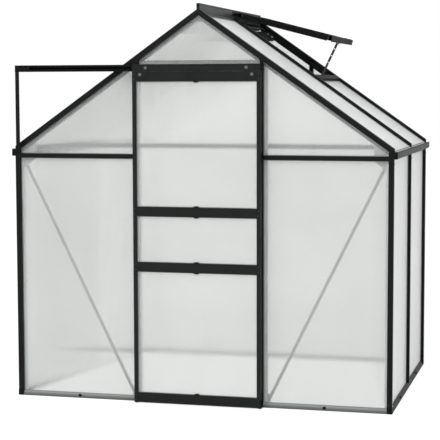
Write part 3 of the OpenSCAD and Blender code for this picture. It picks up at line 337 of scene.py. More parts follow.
def build_rib_group():
    """The leaning normal of the cells between the ribs, and a mask of the ribs."""
    group, source, result = new_group(
        "sheet_ribs", {"Across": (0, 0, 0), "Pitch": RIB_PITCH, "Lean": 0.5},
        {"Normal": "Vector", "Rib": "Float"})
    place = add(group, "ShaderNodeTexCoord")
    surface = add(group, "ShaderNodeNewGeometry")
    along = vector_maths(group, "DOT_PRODUCT", place.outputs["Object"], source.outputs["Across"])
    cell = maths(group, "FRACT", maths(group, "DIVIDE", along, source.outputs["Pitch"]))
    saw = maths(group, "SUBTRACT", cell, 0.5)
    lean = maths(group, "MULTIPLY", maths(group, "MULTIPLY", saw, 2.0), source.outputs["Lean"])
    aside = vector_maths(group, "SCALE", source.outputs["Across"], scale=lean)
    leaning = vector_maths(group, "ADD", surface.outputs["Normal"], aside)
    feed(group, result, Normal=vector_maths(group, "NORMALIZE", leaning),
         Rib=maths(group, "GREATER_THAN", maths(group, "ABSOLUTE", saw), RIB_EDGE))
    return group


sheet_ribs = build_rib_group()
print("group:", sheet_ribs.name, "with a rib every", RIB_PITCH, "m")


# %% Twin-wall material
MILKY = "#fcfdfc"
CLOUDY = "#fafbfa"
RIB_COLOUR = "#fdfdfd"
RIB_SHARE = 0.5


def twin_wall(name, across, clear, colour, lean, roughness, ior):
    """A sheet with its ribs side by side along a direction; clear is the share let through."""
    material, tree, shader = new_material(name)
    ribs = add(tree, "ShaderNodeGroup", node_tree=sheet_ribs)
    face = add(tree, "ShaderNodeNewGeometry")
    entering = maths(tree, "SUBTRACT", 1.0, face.outputs["Backfacing"])
    feed(tree, ribs, Across=across, Lean=maths(tree, "MULTIPLY", entering, lean))
    place = add(tree, "ShaderNodeTexCoord")
    cloud = add(tree, "ShaderNodeTexNoise")
    feed(tree, cloud, Vector=place.outputs["Object"], Scale=3.0, Detail=4.0)
    body = mix_colour(tree, cloud.outputs["Fac"], linear(colour), linear(CLOUDY))
    rib = maths(tree, "MULTIPLY", ribs.outputs["Rib"], RIB_SHARE)
    feed(tree, shader, Base_Color=mix_colour(tree, rib, body, linear(RIB_COLOUR)),
         Normal=ribs.outputs["Normal"], Roughness=roughness, IOR=ior,
         Transmission_Weight=clear)
    return material


# name, direction across the ribs, clear share, colour, lean, roughness and IOR
sheet_gable = twin_wall("twin_wall_gables", RIGHT, 0.81, "#eff2f0", 0.5, 0.06, 1.45)
sheet_side = twin_wall("twin_wall_sides", BACK, 0.46, MILKY, 0.0, 0.35, 1.2)
sheet_left = twin_wall("twin_wall_left", BACK, 0.72, MILKY, 0.0, 0.35, 1.2)
sheet_roof = twin_wall("twin_wall_roof", BACK, 0.60, MILKY, 0.0, 0.45, 1.15)
print("sheets:", sheet_gable.name, sheet_side.name, sheet_left.name, sheet_roof.name)

# %% [markdown]
# ## Metal fittings and plastic
# The braces and plates are bare metal, rolled and a little dull. A brushed texture could show
# that; noise stretched along one axis gives the same fine lines. The nuts and bolts are zinc
# plated. The rollers, clips and end stops are moulded plastic, and the seals grey rubber.

# %% Metal and plastic materials
LINES = (30.0, 30.0, 900.0)
LINE_SPREAD = 0.2
GRAIN_SIZE = 0.0006
GRAIN_SPREAD = 0.15
PLASTIC_SHEEN = 0.06


def rolled_metal(name, colour, roughness, metallic=1.0, fade=None):
    """A metal with fine lines from rolling and a faint cloud in its tone."""
    material, tree, shader = new_material(name)
    place = add(tree, "ShaderNodeTexCoord")
    stretch = add(tree, "ShaderNodeMapping")
    feed(tree, stretch, Vector=place.outputs["Object"], Scale=LINES)
    lines = add(tree, "ShaderNodeTexNoise")
    feed(tree, lines, Vector=stretch.outputs[0], Scale=1.0, Detail=3.0)
    cloud = add(tree, "ShaderNodeTexNoise")
    feed(tree, cloud, Vector=place.outputs["Object"], Scale=45.0, Detail=4.0)
    base = linear(colour)
    shade = mix_colour(tree, cloud.outputs["Fac"], base, toned(base, factor=0.78))
    if fade:
        shade = faded(tree, shade, *fade)
    rough = maths(tree, "MULTIPLY_ADD", lines.outputs["Fac"], LINE_SPREAD,
                  roughness - LINE_SPREAD / 2)
    feed(tree, shader, Base_Color=shade, Roughness=rough, Metallic=metallic,
         Normal=bumped(tree, lines.outputs["Fac"], strength=0.2, distance=0.0002))
    return material


def moulded_plastic(name, colour, roughness):
    """A plastic or rubber with the fine grain of its mould."""
    material, tree, shader = new_material(name)
    peel = add(tree, "ShaderNodeGroup", node_tree=coat_peel)
    feed(tree, peel, Size=GRAIN_SIZE)
    base = linear(colour)
    lighter = toned(base, factor=1.2, lift=0.003)
    shade = mix_colour(tree, peel.outputs["Wander"], base, lighter)
    rough = maths(tree, "MULTIPLY_ADD", peel.outputs["Wander"], GRAIN_SPREAD, roughness)
    feed(tree, shader, Base_Color=shade, Roughness=rough, Specular_IOR_Level=PLASTIC_SHEEN,
         Normal=bumped(tree, peel.outputs["Height"], strength=0.15, distance=0.0001))
    return material


brace_metal = rolled_metal("brace_metal", "#8a8d8c", 0.45, 0.6)
plate_metal = rolled_metal("plate_metal", "#c9cbca", 0.45, 0.3)
# The apex plates fade from pale zinc at the front to near black at the rear gable: painted shade
# on the rear plates.
apex_metal_painted_shade = rolled_metal("apex_metal_painted_shade", "#d9dbda", 0.45, 0.2,
                          fade=("#1a1c1b", BACK, -0.2, 0.2))
bolt_metal = rolled_metal("bolt_metal", "#9fa1a0", 0.38)
hanger_metal = rolled_metal("hanger_metal", "#6f7170", 0.42)
dark_screw = rolled_metal("dark_screw", "#1c1e1d", 0.4, 0.3)
black_plastic = moulded_plastic("black_plastic", "#0d0e0d", 0.42)
seal_rubber = moulded_plastic("seal_rubber", "#7b7e7d", 0.6)
roller_plastic = moulded_plastic("roller_plastic", "#dcdcd6", 0.3)
print("fittings:", plate_metal.name, bolt_metal.name, black_plastic.name, roller_plastic.name)

# %% [markdown]
# ## Finishes on the frame
# Each node takes the finish of its material slot, unless the picture shows that piece lighter
# or darker than its like. The frame's shapes and places stay as they are.

# %% Put the finishes on the frame
# Several of these finishes paint light and shade into colour: the pale lips, the sills, the ridge
# and the apex plates.
FINISH_OF_NODE = {
    "side_sheets_left": sheet_left, "side_sheets_right": sheet_side,
    "roof_sheets_left": sheet_roof, "roof_sheets_right": sheet_roof, "vent_sheet": sheet_roof,
    "ridge_beam": ridge_coat_painted_shade, "front_braces": brace_metal, "sill_rear": rear_sill_painted_light,
    "sill_left": side_sill_painted_shade, "sill_right": side_sill_painted_shade, "apex_plates": apex_metal_painted_shade,
    "door_track": track_coat, "hanger_bolts": hanger_metal, "vent_trimmer": vent_coat,
    "vent_hinge_channel": vent_coat, "vent_top_bar": vent_coat, "vent_frame_bars": vent_coat,
    "post_front_left": lip_coat_painted_light, "post_front_right": lip_coat_painted_light, "jamb_left": lip_coat_painted_light,
    "jamb_right": lip_coat_painted_light,
}
FINISH_OF_SLOT = {
    "twin_wall": sheet_gable,
    "frame_paint": frame_coat, "sill_paint": sill_coat_painted_highlight, "gutter_paint": gutter_coat_painted_shade,
    "zinc_plate": plate_metal, "bolt_steel": bolt_metal, "black_plastic": black_plastic,
    "roller_plastic": roller_plastic, "stay_paint": stay_coat,
}
for part in frame["record"]["subparts"]:
    name = part["node"]
    finish = FINISH_OF_NODE.get(name, FINISH_OF_SLOT[part["material_slot"]])
    if name.startswith("door_") and finish == frame_coat:
        finish = door_coat
    mesh = nodes[name].data
    mesh.materials.clear()
    mesh.materials.append(finish)

# %% [markdown]
# ## Helpers for modelling the small pieces
# The small pieces are modelled the way one works by hand: a primitive, then steps in edit
# mode. A piece ends with its place in its mesh, so its object stays at the origin.

# %% Modelling helpers
HALF_W = 0.950
HALF_L = 0.6605
PITCH = math.radians(35.1)
EAVE = 1.264
APEX = EAVE + HALF_W * math.tan(PITCH)
SHEET_IN = 0.017
SHEET_T = 0.004
RAFTER_LIP = 0.025


def fresh(operator, **settings):
    """Runs a primitive's operator with nothing else selected and hands back the object."""
    bpy.ops.object.select_all(action="DESELECT")
    operator(**settings)
    return bpy.context.object


def edit():
    """Enters edit mode to work on faces."""
    bpy.ops.object.mode_set(mode="EDIT")
    bpy.ops.mesh.select_mode(type="FACE")


def leave():
    """Leaves edit mode."""
    bpy.ops.object.mode_set(mode="OBJECT")


def outline_face(corners):
    """A flat face through the given corners, left in edit mode with the face selected."""
    face = fresh(bpy.ops.mesh.primitive_circle_add, vertices=len(corners), fill_type="NGON")
    for vertex, corner in zip(face.data.vertices, corners):
        vertex.co = corner
    edit()
    bpy.ops.mesh.select_all(action="SELECT")
    return face


def draw_out(way):
    """Extrudes the selected faces."""
    bpy.ops.mesh.extrude_region_move(TRANSFORM_OT_translate={"value": way})


def close_mesh():
    """Turns all faces outward and leaves edit mode."""
    bpy.ops.mesh.select_all(action="SELECT")
    bpy.ops.mesh.normals_make_consistent(inside=False)
    leave()


def mount(pieces, name, finish, body):
    """Joins finished pieces, names and finishes them and puts them on the body that bears them."""
    piece = pieces[0]
    bpy.ops.object.select_all(action="DESELECT")
    for other in pieces:
        other.select_set(True)
    bpy.context.view_layer.objects.active = piece
    if len(pieces) > 1:
        bpy.ops.object.join()
    bpy.ops.object.transform_apply(location=True, rotation=True, scale=True)
    piece.name = name
    piece.data.name = name
    piece.data.materials.clear()
    piece.data.materials.append(finish)
    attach(piece, body)
    return piece


def roof_z(x, depth):
    """The height of a line at a depth below the roof's upper face."""
    return APEX - abs(x) * math.tan(PITCH) - depth / math.cos(PITCH)


print("apex of the roof:", round(APEX, 4))

# %% [markdown]
# ## Glazing seals
# On the real house a soft rubber seal runs round every pane, where the sheet leaves its bar,
# and keeps rain out. It is cut from one length and pressed in. A profile swept along a curve
# would do as well, but its corners have to be set by hand. Here each pane's outline is inset
# by the seal's width, opened in the middle and drawn out from the sheet, so that the corners
# come out mitred by themselves.

# %% Model the glazing seals
SEAL_W = 0.0032
SEAL_H = 0.0024
SEAL_ROUND = 0.0007


def pane_seal(corners, outward):
    """A seal along the edge of the pane through the given corners."""
    seal = outline_face(corners)
    bpy.ops.mesh.inset(thickness=SEAL_W)
    bpy.ops.mesh.delete(type="FACE")
    bpy.ops.mesh.select_all(action="SELECT")
    draw_out(Vector(outward) * SEAL_H)
    bpy.ops.mesh.bevel(offset=SEAL_ROUND, segments=2)
    close_mesh()
    return seal


def gable_corners(x0, x1, y, low, high=None):
    """A pane of a gable between two x, closed at the top by a bar or by the rafters."""
    if high is not None:
        return [(x0, y, low), (x1, y, low), (x1, y, high), (x0, y, high)]
    peak = [(0.0, y, roof_z(0, RAFTER_LIP))] if x0 < 0 < x1 else []
    return [(x0, y, low), (x1, y, low), (x1, y, roof_z(x1, RAFTER_LIP)), *peak,
            (x0, y, roof_z(x0, RAFTER_LIP))]


def mount_seals(seals, name, body="frame"):
    """Joins the seals of one wall and puts them on their body."""
    mount(seals, name, seal_rubber, body)
    return len(seals)


# %% Seal the gables
PANE_IN = 0.320
PANE_OUT = 0.925
STUD_IN = 0.295
STUD_OUT = 0.315
SILL_H = 0.022
CROSSBAR_LOW = 1.206
CROSSBAR_HIGH = 1.227
DOORWAY_HALF = 0.3035
TOP_PANE_LOW = 1.6630
GABLE_Y = HALF_L - SHEET_IN


def stacked(columns):
    """The lower and the pointed pane of each column between two x."""
    bays = []
    for x0, x1 in columns:
        bays += [(x0, x1, SILL_H, CROSSBAR_LOW), (x0, x1, CROSSBAR_HIGH, None)]
    return bays


def gable_seals(end, bays):
    """The seals of one gable; end is -1 for the front and 1 for the rear."""
    return [pane_seal(gable_corners(x0, x1, end * GABLE_Y, low, high), (0, end, 0))
            for x0, x1, low, high in bays]


front_bays = [(-DOORWAY_HALF, DOORWAY_HALF, TOP_PANE_LOW, None)]
front_bays += stacked([(PANE_IN, PANE_OUT), (-PANE_OUT, -PANE_IN)])
rear_bays = stacked([(STUD_OUT, PANE_OUT), (-STUD_IN, STUD_IN), (-PANE_OUT, -STUD_OUT)])
sealed = mount_seals(gable_seals(-1, front_bays), "front_seals")
sealed += mount_seals(gable_seals(1, rear_bays), "rear_seals")
print("sealed panes in the gables:", sealed)

# %% Seal the sides, the roof and the door
SIDE_X = HALF_W - SHEET_IN
SIDE_HIGH = 1.214
STUD_HALF = 0.010
PANE_END = 0.6295
ROOF_HIGH = 0.0335
ROOF_LOW = 1.166
UNDER_VENT = 0.579
FRONT_BAY = (-PANE_END, -STUD_HALF)
REAR_BAY = (STUD_HALF, PANE_END)
ROOF_PANES = [(-1, ROOF_HIGH, REAR_BAY), (-1, ROOF_HIGH, FRONT_BAY),
              (1, ROOF_HIGH, FRONT_BAY), (1, UNDER_VENT, REAR_BAY)]
DOOR_GAP = 0.022
DOOR_SHEET_IN = 0.012
DOOR_FACE = -HALF_L - DOOR_GAP - DOOR_SHEET_IN - SHEET_T
DOOR_PANE_HALF = 0.301
DOOR_PANES = [(0.054, 0.656), (0.702, 0.928), (0.974, 1.5828)]


def slope_place(side, s, depth, y):
    """A point of one roof slope, at distance s from the apex and a depth below the roof."""
    x = s * math.cos(PITCH) - depth * math.sin(PITCH)
    return (side * x, y, APEX - s * math.sin(PITCH) - depth * math.cos(PITCH))


side_panes = []
for side in (-1, 1):
    for y0, y1 in (REAR_BAY, FRONT_BAY):
        corners = [(side * SIDE_X, y, z) for y, z in
                   ((y0, SILL_H), (y1, SILL_H), (y1, SIDE_HIGH), (y0, SIDE_HIGH))]
        side_panes.append(pane_seal(corners, (side, 0, 0)))
sealed = mount_seals(side_panes, "side_seals")

roof_panes = []
for side, high, (y0, y1) in ROOF_PANES:
    corners = [slope_place(side, s, SHEET_IN, y) for s, y in
               ((high, y0), (high, y1), (ROOF_LOW, y1), (ROOF_LOW, y0))]
    up = (side * math.sin(PITCH), 0, math.cos(PITCH))
    roof_panes.append(pane_seal(corners, up))
sealed += mount_seals(roof_panes, "roof_seals")

door_panes = [pane_seal(gable_corners(-DOOR_PANE_HALF, DOOR_PANE_HALF, DOOR_FACE, low, high),
                        (0, -1, 0)) for low, high in DOOR_PANES]
sealed += mount_seals(door_panes, "door_seals", "door")
print("sealed panes in the sides, the roof and the door:", sealed)

# %% [markdown]
# ## End caps
# Open ends of extruded bars are closed by moulded caps: on the gutters, on the ridge and on
# the door's track. A flat box could close a square end, but not the ridge's pointed one. So a
# cap is the bar's outline drawn out a little, its edge rounded and its face sunk in a rim.

# %% Model the end caps
CAP_T = 0.003
CAP_RIM = 0.0025
CAP_SUNK = 0.0008
CAP_ROUND = 0.0005
CAP_FACE = -HALF_L - 0.002
GUTTER_OUTLINE = [(0.936, 1.2147), (0.9675, 1.2147), (0.9675, 1.2493), (0.936, 1.2493)]
RIDGE_OUTLINE = [(-0.0070, 1.9300), (0.0, 1.9345), (0.0070, 1.9300), (0.0070, 1.9562),
                 (-0.0070, 1.9562)]
TRACK_LOW = 1.63146
TRACK_HIGH = TRACK_LOW + 0.032
TRACK_BACK = -HALF_L - 0.0005
TRACK_FRONT = -HALF_L - 0.048
TRACK_ENDS = ((-0.927, -1), (0.327, 1))


def modify(piece, kind, **settings):
    """Gives a piece a modifier and applies it."""
    modifier = piece.modifiers.new(kind.lower(), kind)
    for key, value in settings.items():
        setattr(modifier, key, value)
    bpy.context.view_layer.objects.active = piece
    bpy.ops.object.modifier_apply(modifier=modifier.name)


def soften(piece, width, segments=2):
    """Rounds the edges of a piece."""
    modify(piece, "BEVEL", width=width, segments=segments)


def end_cap(corners, outward):
    """A cap whose outer face lies in the plane of the given corners."""
    way = Vector(outward)
    cap = outline_face([Vector(corner) - way * CAP_T for corner in corners])
    draw_out(way * CAP_T)
    bpy.ops.mesh.inset(thickness=CAP_RIM)
    draw_out(way * -CAP_SUNK)
    close_mesh()
    soften(cap, CAP_ROUND)
    return cap


def mount_caps(caps, name):
    """Joins the caps of one bar and puts them on the frame."""
    mount(caps, name, black_plastic, "frame")
    return len(caps)


gutter_caps = [end_cap([(side * x, CAP_FACE, z) for x, z in GUTTER_OUTLINE], (0, -1, 0))
               for side in (-1, 1)]
gutter_count = mount_caps(gutter_caps, "gutter_caps")

ridge_cap = end_cap([(x, CAP_FACE, z) for x, z in RIDGE_OUTLINE], (0, -1, 0))
ridge_count = mount_caps([ridge_cap], "ridge_cap")

track_caps = []
for end, way in TRACK_ENDS:
    corners = [(end, TRACK_BACK, TRACK_LOW), (end, TRACK_FRONT, TRACK_LOW),
               (end, TRACK_FRONT, TRACK_HIGH), (end, TRACK_BACK, TRACK_HIGH)]
    track_caps.append(end_cap(corners, (way, 0, 0)))
track_count = mount_caps(track_caps, "track_caps")
print("end caps on the gutters, the ridge and the track:", gutter_count, ridge_count,
      track_count)

# %% [markdown]
# ## Screws and washers
# The door's rails are held to its stiles by pan-head screws, and the side walls' posts and
# studs have one near each end. The front of each front post has one more, near its foot.
# Plain washers lie under the nuts of the door's hangers. A head could be spun from a profile;
# half a sphere, pressed flat, is the same dome in fewer steps, and two bars cut its cross.
# One screw is modelled, head up, and copied to its places.

# %% Model one pan-head screw
SCREW_R = 0.0036
HEAD_FLAT = 0.55
SLOT_LENGTH = 1.2
SLOT_WIDTH = 0.22
SLOT_DEPTH = 0.6


def block(size, centre):
    """A box of the given size round a point, left in edit mode."""
    box = fresh(bpy.ops.mesh.primitive_cube_add, size=1)
    edit()
    bpy.ops.mesh.select_all(action="SELECT")
    bpy.ops.transform.resize(value=size)
    bpy.ops.transform.translate(value=centre)
    return box


def cut_away(piece, tools):
    """Takes each tool's shape out of a piece, then removes the tools."""
    for tool in tools:
        modify(piece, "BOOLEAN", operation="DIFFERENCE", object=tool)
    for tool in tools:
        bpy.data.objects.remove(tool)


def smooth():
    """Shades the object in hand smooth, except over its sharp edges."""
    bpy.ops.object.shade_smooth_by_angle(angle=math.radians(35))


def pan_head_screw(radius):
    """The head of a cross-recessed screw, modelled head up at the origin."""
    head = fresh(bpy.ops.mesh.primitive_uv_sphere_add, segments=24, ring_count=12,
                 radius=radius)
    edit()
    bpy.ops.mesh.select_all(action="SELECT")
    bpy.ops.mesh.bisect(plane_co=(0, 0, 0), plane_no=UP, clear_inner=True, use_fill=True)
    bpy.ops.mesh.select_all(action="SELECT")
    bpy.ops.transform.resize(value=(1, 1, HEAD_FLAT))
    leave()
    smooth()
    bars = []
    for along, across in ((SLOT_LENGTH, SLOT_WIDTH), (SLOT_WIDTH, SLOT_LENGTH)):
        size = [radius * v for v in (along, across, SLOT_DEPTH)]
        bars.append(block(size, (0, 0, radius * SLOT_DEPTH)))
        leave()
    cut_away(head, bars)
    return head


screw = pan_head_screw(SCREW_R)
print("one screw head:", len(screw.data.polygons), "faces")

# %% Copy the screw to the door and the posts
STILE_X = 0.310
STILE_DEPTH = 0.028
STILE_FACE = -HALF_L - DOOR_GAP - STILE_DEPTH
RAIL_SCREWS_Z = (0.022, 0.042, 0.667, 0.691, 0.939, 0.963, 1.594, 1.618)
WALL_SCREWS_Y = (-0.645, 0.645, 0.0)
WALL_SCREWS_Z = (0.045, 1.190)
FRONT_SCREW_X = 0.937
FRONT_SCREW_Z = 0.045


def copy_to(piece, place):
    """A copy with a mesh of its own, moved within its mesh by a matrix."""
    twin = piece.copy()
    twin.data = piece.data.copy()
    bpy.context.scene.collection.objects.link(twin)
    twin.data.transform(place)
    if place.determinant() < 0:
        twin.data.flip_normals()
    return twin


def facing(way, x, y, z):
    """The place that turns a piece modelled head up towards a side and moves it there."""
    turn = Vector(UP).rotation_difference(Vector(way)).to_matrix().to_4x4()
    return Matrix.Translation((x, y, z)) @ turn


door_screws = [copy_to(screw, facing((0, -1, 0), x, STILE_FACE, z))
               for x in (-STILE_X, STILE_X) for z in RAIL_SCREWS_Z]
post_screws = [copy_to(screw, facing((side, 0, 0), side * HALF_W, y, z))
               for side in (-1, 1) for y in WALL_SCREWS_Y for z in WALL_SCREWS_Z]
post_screws += [copy_to(screw, facing((0, -1, 0), x, -HALF_L, FRONT_SCREW_Z))
                for x in (-FRONT_SCREW_X, FRONT_SCREW_X)]
bpy.data.objects.remove(screw)
mount(door_screws, "door_screws", dark_screw, "door")
mount(post_screws, "post_screws", dark_screw, "frame")
print("screws on the door and the posts:", len(door_screws), len(post_screws))


# %% Model the hangers' washers
WASHER_ROUND = 0.0002
# radius, hole's radius and thickness
WASHER_SIZE = (0.0078, 0.0042, 0.0009)
AXLE_X = 0.250
AXLE_Z = TRACK_LOW + 0.016
BOLT_X = AXLE_X + 0.028
BOLT_Z = AXLE_Z - 0.032
HANGER_FACE = -HALF_L - 0.0525


def washer(radius, hole, thickness):
    """A plain washer, modelled lying flat at the origin."""
    ring = fresh(bpy.ops.mesh.primitive_circle_add, vertices=32, radius=radius,
                 fill_type="NGON")
    edit()
    bpy.ops.mesh.select_all(action="SELECT")
    bpy.ops.mesh.inset(thickness=radius - hole)
    bpy.ops.mesh.delete(type="FACE")
    bpy.ops.mesh.select_all(action="SELECT")
    draw_out((0, 0, thickness))
    close_mesh()
    soften(ring, WASHER_ROUND)
    return ring


flat_washer = washer(*WASHER_SIZE)
washers = [copy_to(flat_washer, facing((0, -1, 0), side * x, HANGER_FACE, z))
           for side in (-1, 1) for x, z in ((AXLE_X, AXLE_Z), (BOLT_X, BOLT_Z))]
bpy.data.objects.remove(flat_washer)
mount(washers, "hanger_washers", hanger_metal, "door")
print("washers:", len(washers))

# %% [markdown]
# ## Track cover
# A thin folded plate stands on the door's top rail and hides the open mouth of the track
# behind it, so from the front the door ends in one tall dark band. A plain box would look too
# thick on its upper edge. So it is drawn out from a flat strip, its top edge is drawn in to a
# thin lip, and two drills cut the holes that let the axles through.

# %% Model the track cover
COVER_HALF = 0.3185
COVER_BACK = -HALF_L - 0.0488
COVER_T = 0.0011
COVER_LOW = 1.6312
COVER_HIGH = 1.6640
COVER_EDGE = 0.0002
COVER_LIP = 0.0012
AXLE_HOLE_R = 0.0065
DRILL_LENGTH = 0.02


def select_faces(obj, wanted):
    """Leaves edit mode's selection on the faces for which wanted(centre, normal) holds."""
    bpy.ops.mesh.select_all(action="DESELECT")
    bpy.ops.object.mode_set(mode="OBJECT")
    for face in obj.data.polygons:
        face.select = wanted(face.center, face.normal)
    bpy.ops.object.mode_set(mode="EDIT")


def track_cover():
    """The cover, modelled in place."""
    corners = [(-COVER_HALF, COVER_BACK, COVER_LOW), (COVER_HALF, COVER_BACK, COVER_LOW),
               (COVER_HALF, COVER_BACK, COVER_HIGH), (-COVER_HALF, COVER_BACK, COVER_HIGH)]
    cover = outline_face(corners)
    draw_out((0, -COVER_T, 0))
    bpy.ops.mesh.select_all(action="SELECT")
    bpy.ops.mesh.normals_make_consistent(inside=False)
    select_faces(cover, lambda centre, normal: normal.z > 0.5)
    bpy.ops.mesh.inset(thickness=COVER_EDGE)
    draw_out((0, 0, COVER_LIP))
    leave()
    for side in (-1, 1):
        drill = fresh(bpy.ops.mesh.primitive_cylinder_add, vertices=24, radius=AXLE_HOLE_R,
                      depth=DRILL_LENGTH, rotation=(math.radians(90), 0, 0),
                      location=(side * AXLE_X, COVER_BACK, AXLE_Z))
        cut_away(cover, [drill])
    return cover


mount([track_cover()], "track_cover", door_coat, "door")
print("the cover stands", round(COVER_HIGH - COVER_LOW, 4), "m over the top rail")

# %% [markdown]
# ## Vent fittings
# The vent's frame is held at its lower corners by small angle plates, each with two screws,
# and a soft seal runs round its sheet. The vent stands open in the frame, so each place is
# given along its slope and square to it, from the hinge. A plate could be two boxes, but one
# outline has no hidden faces where they would meet.

# %% Model the vent's fittings
VENT_HINGE = (0.02708, 1.93281)
VENT_SLOPE = math.radians(14.6)
VENT_UP = Vector((math.sin(VENT_SLOPE), 0, math.cos(VENT_SLOPE)))
VENT_W = 0.656
VENT_PANE = (0.035, 0.500)
VENT_PANE_IN = 0.018
PANE_FACE = 0.002
PLATE_OUTLINE = [(0.521, 0), (0.521, 0.042), (0.507, 0.042), (0.507, 0.014), (0.479, 0.014),
                 (0.479, 0)]
PLATE_SCREWS = ((0.514, 0.034), (0.486, 0.007))
PLATE_IN = 0.004
PLATE_FACE = 0.0119
PLATE_T = 0.0014
PLATE_ROUND = 0.0005
PLATE_SCREW_FACE = 0.0131
PLATE_SCREW_R = 0.0030


def on_vent(s, n, y):
    """A point of the open vent: s down its slope, n above its middle plane."""
    x = VENT_HINGE[0] + s * math.cos(VENT_SLOPE) + n * math.sin(VENT_SLOPE)
    z = VENT_HINGE[1] - s * math.sin(VENT_SLOPE) + n * math.cos(VENT_SLOPE)
    return (x, y, z)


high, low = VENT_PANE
near, far = VENT_PANE_IN, VENT_W - VENT_PANE_IN
corners = [on_vent(s, PANE_FACE, y) for s, y in
           ((high, near), (high, far), (low, far), (low, near))]
mount_seals([pane_seal(corners, VENT_UP)], "vent_seal", "vent")

small_screw = pan_head_screw(PLATE_SCREW_R)
plates = []
heads = []
for y, inward in ((PLATE_IN, 1), (VENT_W - PLATE_IN, -1)):
    plate = outline_face([on_vent(s, PLATE_FACE, y + inward * across)
                          for s, across in PLATE_OUTLINE])
    draw_out(VENT_UP * PLATE_T)
    close_mesh()
    soften(plate, PLATE_ROUND)
    plates.append(plate)
    for s, across in PLATE_SCREWS:
        place = facing(VENT_UP, *on_vent(s, PLATE_SCREW_FACE, y + inward * across))
        heads.append(copy_to(small_screw, place))
bpy.data.objects.remove(small_screw)
mount(plates, "vent_corner_plates", vent_coat, "vent")
mount(heads, "vent_screws", dark_screw, "vent")
print("vent fittings:", len(plates), "plates and", len(heads), "screws")

# %% [markdown]
# ## Roller rings and clevis rivets
# Behind each door roller a thin ring keeps it from rubbing on the end of its axle, and the
# stay turns on a pin in the clevis under the vent's lower bar. The ring is the washer again,
# in plastic. A low domed rivet head with a rim closes the pin on each side of the clevis. A
# sphere would stand too high there, so the head is a flat cylinder whose top is drawn in.

# %% Model the rings and the rivets
RIM_SHARE = 0.3
DOME_SHARE = 0.3
DOME_NARROWING = 0.7
HEAD_ROUND_SHARE = 0.2
RING_SIZE = (0.0088, 0.0060, 0.0008)
# radius and height
RIVET_SIZE = (0.0045, 0.0010)
ROLLER_BACK = -HALF_L - 0.0305
RING_BODIES = ((-1, "roller_left"), (1, "roller_right"))
STAY_X = 0.5059
STAY_Z = 1.7874
CLEVIS_FACES = ((-1, 0.3235), (1, 0.3325))


def round_head(radius, height):
    """A low domed head with a rim, modelled head up at the origin."""
    head = fresh(bpy.ops.mesh.primitive_cylinder_add, vertices=32, radius=radius,
                 depth=height, location=(0, 0, height / 2))
    edit()
    select_faces(head, lambda centre, normal: normal.z > 0.5)
    bpy.ops.mesh.inset(thickness=RIM_SHARE * radius)
    draw_out((0, 0, DOME_SHARE * height))
    bpy.ops.transform.resize(value=(DOME_NARROWING, DOME_NARROWING, 1))
    leave()
    bpy.ops.object.transform_apply(location=True, rotation=False, scale=False)
    soften(head, HEAD_ROUND_SHARE * height, 3)
    smooth()
    return head


ring = washer(*RING_SIZE)
for side, body in RING_BODIES:
    place = facing(BACK, side * AXLE_X, ROLLER_BACK, AXLE_Z)
    mount([copy_to(ring, place)], body + "_ring", black_plastic, body)
bpy.data.objects.remove(ring)

rivet = round_head(*RIVET_SIZE)
stay_rivets = [copy_to(rivet, facing((0, way, 0), STAY_X, y, STAY_Z))
               for way, y in CLEVIS_FACES]
bpy.data.objects.remove(rivet)
mount(stay_rivets, "stay_rivets", bolt_metal, "vent")
print("roller rings:", len(RING_BODIES), "rivet heads on the clevis:", len(stay_rivets))

# %% [markdown]
# ## Corner shoes
# Each front post has a moulded shoe round its foot that hides the joint of the two sills. It
# could be a box with a smaller one cut out, but an angle drawn up from its outline keeps its
# wall even all round. Its upper edge is drawn in, and the right one is the left one mirrored.

# %% Model one corner shoe and copy it
SHOE_H = 0.030
SHOE_LONG = 0.0385
SHOE_SHORT = 0.0255
SHOE_OUT = 0.0012
SHOE_IN = 0.0004
SHOE_RISE = 0.0006


def corner_shoe():
    """A shoe round the front left corner, modelled in place."""
    x0, x1, x2 = -HALF_W - SHOE_OUT, -HALF_W + SHOE_IN, -HALF_W + SHOE_SHORT
    y0, y1, y2 = -HALF_L - SHOE_OUT, -HALF_L + SHOE_IN, -HALF_L + SHOE_LONG
    outline = [(x0, y2), (x0, y0), (x2, y0), (x2, y1), (x1, y1), (x1, y2)]
    shoe = outline_face([(x, y, 0.0) for x, y in outline])
    draw_out((0, 0, SHOE_H))
    bpy.ops.mesh.inset(thickness=SHOE_IN)
    draw_out((0, 0, SHOE_RISE))
    close_mesh()
    return shoe


shoe = corner_shoe()
shoes = [shoe, copy_to(shoe, Matrix.Scale(-1, 4, RIGHT))]
mount(shoes, "corner_shoes", black_plastic, "frame")
print("corner shoes:", len(shoes), "at the front corners")

# %% [markdown]
# ## Glazing tabs
# Black moulded tabs clamp the sheets in the middle of each bay: wide ones on the edges of the
# door's rails, in place of the frame's plain clips, and round-headed ones on the outer faces
# of the sills. A tab is a box whose front is inset and drawn out, since that leaves the small
# step round the edge that a mould gives. The sills' heads are the rivet's head, larger.

# %% Model the door's tabs
TAB_W = 0.026
TAB_H = 0.0065
TAB_T = 0.010
TAB_EDGE = 0.0016
TAB_RISE = 0.001
TAB_ROUND = 0.0008
TAB_NARROWING = 0.8


def door_tab():
    """One tab, modelled standing on a rail's edge at the origin, over the sheet above it."""
    tab = block((TAB_W, TAB_T, TAB_H), (0, -TAB_T / 2, TAB_H / 2))
    select_faces(tab, lambda centre, normal: normal.y < -0.5)
    bpy.ops.mesh.inset(thickness=TAB_EDGE)
    draw_out((0, -TAB_RISE, 0))
    select_faces(tab, lambda centre, normal: normal.z > 0.5)
    bpy.ops.transform.resize(value=(TAB_NARROWING, 1, 1))
    leave()
    soften(tab, TAB_ROUND, 3)
    smooth()
    return tab


